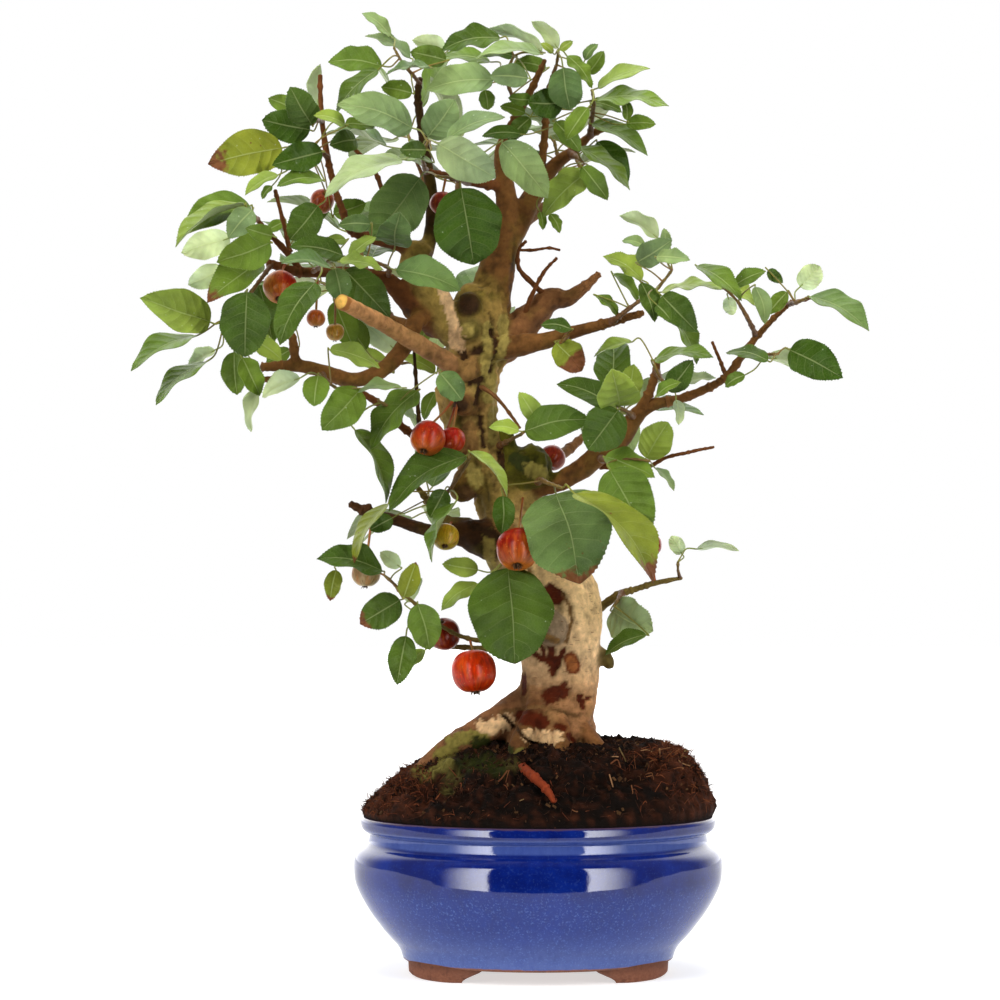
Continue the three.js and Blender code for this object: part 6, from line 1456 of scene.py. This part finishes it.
def add_foot(shape, inner, outer):
    """A bracket foot that follows the base: it slopes up to its inner end and is round at the outer one."""
    t = np.linspace(0, 1, FOOT_STEPS)
    way = 1 if outer > inner else -1
    rings = []
    for height, inset in FOOT_INSETS:
        slope = 12 * (1 - ease(min(1, height / FOOT_HEIGHT)))
        tuck = 17 * max(0, 1 - height / 3.4) ** 2.2
        turn = np.radians(inner + way * slope + (outer - inner - way * (slope + tuck)) * t)
        half = FOOT_WIDTH / 2 * np.sqrt(np.maximum(0.012, 1 - np.abs(2 * t - 1) ** 3.4))
        width = np.maximum(0.3, half - inset)
        radius = np.concatenate([FOOT_MIDDLE + width, (FOOT_MIDDLE - width)[::-1]])
        rings.append(oval(radius, height, np.concatenate([turn, turn[::-1]])))
    count = 2 * FOOT_STEPS
    first = np.arange(FOOT_STEPS - 1)
    under = np.stack([first, count - 1 - first, count - 2 - first, first + 1], 1)
    faces = np.concatenate([grid_faces(len(rings), count, closed=True), under])
    shape.add(np.concatenate(rings), faces if outer > inner else faces[:, ::-1], 1)


# ------------------------------------------------------------------ the materials
def leaf_finish():
    f = Finish("leaf_blade")
    along, across, code = f.split(f.read("mark"))
    seed, width = f.math("FRACT", code), f.math("FLOOR", code)
    tint = f.read("tint")
    wear = f.read("wear", "Fac")
    side = f.math("ABSOLUTE", across)
    patchy, broad = f.noise(95.0, 4.0), f.noise(30.0, 3.0)
    # side veins leave the midrib at a slant and bend towards the tip
    lean = f.times(f.math("POWER", side, 1.25), 0.2)
    bent = f.line(f.noise(55.0, 2.0), 0.07, f.less(along, lean))
    half = f.line(seed, 10.0, f.times(f.math("GREATER_THAN", across, 0.0), 0.5))
    rank = f.line(bent, 6.4, half)
    gap = f.math("ABSOLUTE", f.less(f.math("FRACT", rank), 0.5))
    vein = f.times(f.step(gap, 0.455, 0.5), f.rest(f.times(side, 0.85)))
    vein = f.times(vein, f.step(width, 8.0, 22.0))
    rib = f.rest(f.step(f.times(side, width), 0.45, 1.05))
    lines = f.math("MAXIMUM", f.times(vein, 0.5), f.times(rib, 0.85))
    mesh = f.rest(f.step(f.cells(620.0, "DISTANCE_TO_EDGE"), 0.0, 0.12))
    shade = f.line(patchy, 1.1, f.line(broad, 0.9, 0.0))
    colour = f.shaded(tint, shade)
    # painted shade: the blade is darker in the fold beside its midrib
    shaded_hollow = f.times(f.rest(f.step(side, 0.0, 0.4)), 0.3)
    colour = f.mix(shaded_hollow, colour, f.toned(colour, (0.62, 0.66, 0.5)))
    lighter = f.mix(0.5, tint, linear(196, 206, 142))
    colour = f.over(colour, lines, 0.58, lighter)
    colour = f.over(colour, mesh, 0.07, lighter)
    # painted shade: one half of the blade is darker, as if turned away from the light
    half_light = f.times(f.step(across, -0.08, 0.08), f.step(seed, 0.35, 0.65))
    colour = f.over(colour, half_light, 0.5, f.toned(colour, (0.72, 0.76, 0.66)))
    # dust and water marks
    dust = f.spots(240.0, 0.06, 0.12)
    dust = f.times(dust, f.step(f.noise(70.0, 2.0), 0.54, 0.62))
    colour = f.over(colour, dust, 0.4, linear(196, 204, 176))
    # dry tips and specks
    ragged = f.line(f.noise(220.0, 4.0), 0.35, along)
    dry = f.times(f.step(f.math("ADD", ragged, wear), 1.28, 1.36), f.math("GREATER_THAN", wear, 0.01))
    colour = f.mix(dry, colour, f.mix(f.noise(300.0), linear(64, 32, 16), linear(130, 82, 50)))
    specks = f.spots(170.0, 0.07, 0.13)
    specks = f.times(specks, f.times(f.step(f.noise(40.0), 0.5, 0.6), f.step(wear, 0.15, 0.3)))
    colour = f.mix(specks, colour, linear(96, 56, 28))
    quilt = f.times(f.step(gap, 0.5, 0.1), 0.7)
    height = f.less(f.line(mesh, -0.1, quilt), f.times(lines, 0.5))
    height = f.times(height, f.line(f.step(width, 10.0, 34.0), 0.85, 0.15))
    return f.finish({
        "Base Color": colour, "Roughness": f.line(patchy, 0.2, 0.34), "Specular IOR Level": 0.12,
        "Subsurface Weight": 0.12, "Subsurface Scale": 0.0012, "Subsurface Radius": (0.6, 1.0, 0.25),
        "Normal": f.bump(height, 1.0, 0.0006)})


def twig_finish():
    f = Finish("twig")
    grain = f.noise(500.0, 4.0)
    colour = f.shaded(f.read("tint"), f.line(grain, 1.0, 0.5))
    return f.finish({"Base Color": colour, "Roughness": f.line(grain, 0.2, 0.42),
                     "Specular IOR Level": 0.25, "Normal": f.bump(grain, 0.5, 0.0002)})


def bark_finish():
    f = Finish("tree_bark")
    tint = f.read("tint")
    smooth, _, sawn = f.split(f.read("mark"))
    broad = f.noise(60.0, 5.0)
    fine = f.noise(420.0, 5.0)
    grit = f.noise(1500.0, 3.0)
    shade = f.line(broad, 0.7, f.line(fine, 1.1, 0.1))
    colour = f.shaded(tint, shade)
    # lenticels: short level dashes
    dashes = f.noise(1.0, 2.0, f.stretched((170.0, 170.0, 1100.0)))
    dash = f.times(f.step(dashes, 0.66, 0.7), f.line(smooth, 0.6, 0.1))
    colour = f.mix(dash, colour, linear(92, 54, 32))
    # dark flecks where the outer bark has worn, pale ones where it flakes
    whole = f.rest(sawn)
    fleck = f.times(f.step(f.noise(210.0, 5.0, rough=0.7), 0.58, 0.67), whole)
    share = f.line(smooth, -0.25, 0.42)
    colour = f.over(colour, fleck, share, linear(62, 42, 24))
    flake = f.times(f.step(f.noise(150.0, 5.0, rough=0.7), 0.62, 0.7), whole)
    colour = f.over(colour, flake, 0.4, f.toned(tint, (1.7, 1.65, 1.5)))
    height = f.line(fine, 0.6, f.line(grit, 0.25, f.times(fleck, -0.4)))
    height = f.less(height, f.times(dash, 0.3))
    colour = f.toned(colour, (1.04, 1.0, 0.93))
    return f.finish({"Base Color": colour, "Roughness": f.line(fine, 0.25, 0.6),
                     "Specular IOR Level": 0.12, "Normal": f.bump(height, 1.0, 0.0008)})


def apple_finish():
    f = Finish("apple_skin")
    around = f.read("mark")
    streaks = f.noise(9.0, 4.0, around)
    colour = f.shaded(f.read("tint"), f.line(streaks, 1.5, 0.1))
    patches = f.step(f.noise(3.0, 5.0, around), 0.5, 0.66)
    colour = f.over(colour, patches, 0.3, linear(196, 96, 26))
    bruise = f.step(f.noise(5.0, 5.0, around, 0.65), 0.56, 0.66)
    colour = f.over(colour, bruise, 0.45, linear(84, 20, 10))
    dots = f.spots(480.0, 0.1, 0.18)
    colour = f.over(colour, dots, 0.3, linear(206, 150, 90))
    # painted shade: darker brown in the dimples round the stalk and the blossom end
    middle = f.rest(f.step(f.read("wear", "Fac"), 0.14, 0.34))
    colour = f.over(colour, middle, 0.7, linear(88, 60, 32))
    blemish = f.step(f.noise(130.0, 4.0), 0.66, 0.72)
    colour = f.over(colour, blemish, 0.55, linear(92, 46, 24))
    return f.finish({
        "Base Color": colour, "Roughness": f.line(f.noise(300.0), 0.15, 0.24),
        "Specular IOR Level": 0.16, "Subsurface Weight": 0.05, "Subsurface Scale": 0.003,
        "Subsurface Radius": (1.0, 0.35, 0.15), "Coat Weight": 0.06, "Coat Roughness": 0.22,
        "Normal": f.bump(f.noise(260.0, 3.0), 0.15, 0.0005)})


def soil_finish():
    f = Finish("compost_crumb")
    grain = f.noise(520.0, 5.0, rough=0.7)
    colour = f.shaded(f.read("tint"), f.line(grain, 1.6, 0.2))
    bits = f.spots(330.0, 0.12, 0.2)
    bits = f.times(bits, f.step(f.noise(160.0), 0.58, 0.64))
    colour = f.over(colour, bits, 0.35, linear(96, 58, 38))
    return f.finish({"Base Color": colour, "Roughness": 0.95, "Specular IOR Level": 0.1,
                     "Normal": f.bump(grain, 1.0, 0.0012)})


def clay_colour(f):
    grain = f.noise(700.0, 4.0)
    colour = f.mix(grain, linear(84, 46, 32), linear(138, 88, 64))
    dark = f.step(f.noise(190.0, 4.0), 0.56, 0.68)
    return f.over(colour, dark, 0.5, linear(74, 42, 30)), grain


def glaze_finish():
    f = Finish("cobalt_glaze")
    height = f.split(f.place)[2]
    broad = f.noise(22.0, 4.0)
    cloudy = f.noise(75.0, 5.0, rough=0.65)
    streaks = f.noise(1.0, 4.0, f.stretched((330.0, 330.0, 120.0)), 0.65)
    colour = f.mix(f.step(cloudy, 0.35, 0.7), linear(3, 18, 86), linear(6, 30, 108))
    # painted reflection of the white table: below the belly it is a lighter blue, in streaks
    low = f.step(height, 0.056, 0.044)
    colour = f.over(colour, low, f.line(streaks, 1.0, 0.2), linear(4, 40, 118))
    # the groove of the neck is a paler blue, in streaks
    neck = f.times(f.step(height, 0.0712, 0.0728), f.step(height, 0.0806, 0.079))
    colour = f.over(colour, neck, f.line(streaks, 0.6, 0.5), linear(66, 84, 146))
    # painted reflection of the table, lighter still near the base
    base = f.step(height, 0.034, 0.008)
    painted_table_reflection = f.times(base, f.line(streaks, 0.9, 0.35))
    colour = f.mix(painted_table_reflection, colour, linear(70, 88, 146))
    colour = f.over(colour, f.step(broad, 0.52, 0.72), 0.3, linear(16, 46, 134))
    specks = f.step(f.noise(900.0, 3.0, rough=0.6), 0.55, 0.68)
    colour = f.over(colour, specks, f.line(low, 0.24, 0.06), linear(96, 130, 196))
    # it runs thin over the rim's edge, where the clay shows brown
    wavy = f.line(f.noise(160.0, 3.0), 0.0016, height)
    thin = f.step(wavy, 0.0856, 0.0866)
    colour = f.over(colour, thin, 0.8, linear(74, 54, 60))
    bare = f.step(wavy, 0.0103, 0.0095)
    colour = f.mix(bare, colour, clay_colour(f)[0])
    gloss = f.line(cloudy, 0.06, f.line(low, 0.06, 0.02))
    return f.finish({
        "Base Color": colour, "Roughness": f.line(bare, 0.7, gloss), "IOR": 1.48,
        "Normal": f.bump(f.line(f.noise(260.0), 0.2, broad), 0.1, 0.0012)})


def clay_finish():
    f = Finish("bare_clay")
    colour, grain = clay_colour(f)
    # painted shade: the feet are darker towards their tops, under the pot's body
    upper = f.step(f.split(f.place)[2], 0.0035, 0.0085)
    colour = f.over(colour, upper, 0.5, linear(64, 36, 26))
    return f.finish({"Base Color": colour, "Roughness": 0.8, "Specular IOR Level": 0.3,
                     "Normal": f.bump(grain, 0.6, 0.0004)})


# ------------------------------------------------------------------ studio
class Sky(Finish):
    """The room round the pot: dark in front, with two tall softboxes, and white at the back."""

    def __init__(self):
        self.world = bpy.data.worlds.new("studio")
        self.world.use_nodes = True
        self.tree = self.world.node_tree
        self.tree.nodes.clear()
        across, ahead, up = self.split(self.node("ShaderNodeTexCoord").outputs["Generated"])
        aside = self.math("ARCTAN2", self.math("ABSOLUTE", across), self.times(ahead, -1.0))
        panel = self.times(self.step(aside, 0.42, 0.46), self.step(aside, 0.95, 0.46))
        panel = self.times(panel, self.step(up, 0.66, 0.52))
        flank, rear = self.step(aside, 0.5, 1.2), self.step(aside, 1.8, 2.6)
        mirrored = self.line(panel, 13.0, self.line(rear, 2.6, 0.04))
        mirrored = self.line(flank, 0.3, mirrored)
        mirrored = self.line(self.step(up, 0.75, 0.95), 0.1, mirrored)
        diffused = self.line(self.step(up, -0.2, 1.0), 0.16, 0.15)
        path = self.node("ShaderNodeLightPath").outputs
        strength = self.blend(path["Is Glossy Ray"], diffused, mirrored)
        strength = self.blend(path["Is Camera Ray"], strength, 1.0)
        light = self.node("ShaderNodeBackground", {"Color": (1, 1, 1, 1), "Strength": strength}).outputs[0]
        self.node("ShaderNodeOutputWorld", {"Surface": light})


def pale_floor():
    f = Finish("pale_floor")
    across, ahead, _ = f.split(f.place)
    reach = f.math("SQRT", f.line(across, across, f.times(ahead, ahead)))
    far = f.step(reach, 0.28, 0.7)
    return f.finish({
        "Base Color": f.mix(far, (0.6, 0.6, 0.6), (0, 0, 0)), "Roughness": 0.9, "Specular IOR Level": 0.0,
        "Emission Color": (1, 1, 1, 1), "Emission Strength": f.blend(far, 0.6, 1.7)})


TABLE_EDGE = 0.22
AIM_HEIGHT = 0.24
# Name, azimuth in degrees, height, reach, size and power of each lamp.
LAMPS = (
    ("key_left", -42, 0.85, 1.5, (0.5, 1.1), 20), ("key_right", 44, 0.75, 1.5, (0.45, 1.0), 14),
    ("top", 0, 1.7, 0.15, (1.1, 1.1), 20), ("rear", 180, 0.9, 1.5, (1.8, 1.0), 8))


def set_stage():
    scene = bpy.context.scene
    scene.view_settings.view_transform = "Standard"
    scene.world = Sky().world
    mesh = bpy.data.meshes.new("floor")
    # the table ends a little in front of the pot, which is what draws the level line on its belly
    near = POT_AXIS[1] * MM - TABLE_EDGE
    mesh.from_pydata([(-4, near, 0), (4, near, 0), (4, 4, 0), (-4, 4, 0)], [], [(0, 1, 2, 3)])
    mesh.materials.append(pale_floor())
    ground = bpy.data.objects.new("floor", mesh)
    scene.collection.objects.link(ground)

    aim = Vector((0, 0, AIM_HEIGHT))
    for name, azimuth, height, reach, size, power in LAMPS:
        light = bpy.data.lights.new(name, "AREA")
        light.shape = "RECTANGLE"
        light.size, light.size_y = size
        light.energy = power
        lamp = bpy.data.objects.new(name, light)
        turn = math.radians(azimuth)
        lamp.location = (math.sin(turn) * reach, -math.cos(turn) * reach, height)
        lamp.rotation_euler = (lamp.location - aim).to_track_quat("Z", "Y").to_euler()
        # their reflections come from the sky's own softboxes
        lamp.visible_glossy = False
        scene.collection.objects.link(lamp)

    camera = bpy.data.cameras.new("camera")
    camera.sensor_width = 36
    camera.lens = 36 * EYE_DISTANCE / (1000 * GRID)
    camera.clip_end = 20
    eye = bpy.data.objects.new("camera", camera)
    eye.location = Vector((POT_AXIS + np.array([
        (EYE_COLUMN - AXIS_COLUMN) * GRID, -EYE_DISTANCE, (TABLE_ROW - EYE_ROW) * GRID])) * MM)
    eye.rotation_euler = (math.pi / 2, 0, 0)
    scene.collection.objects.link(eye)
    scene.camera = eye


twig = twig_finish()
grow_sprays(leaf_finish(), twig)
grow_wood(bark_finish())
hang_apples(apple_finish(), twig)
heap_soil(soil_finish())
throw_pot(glaze_finish(), clay_finish())
set_stage()
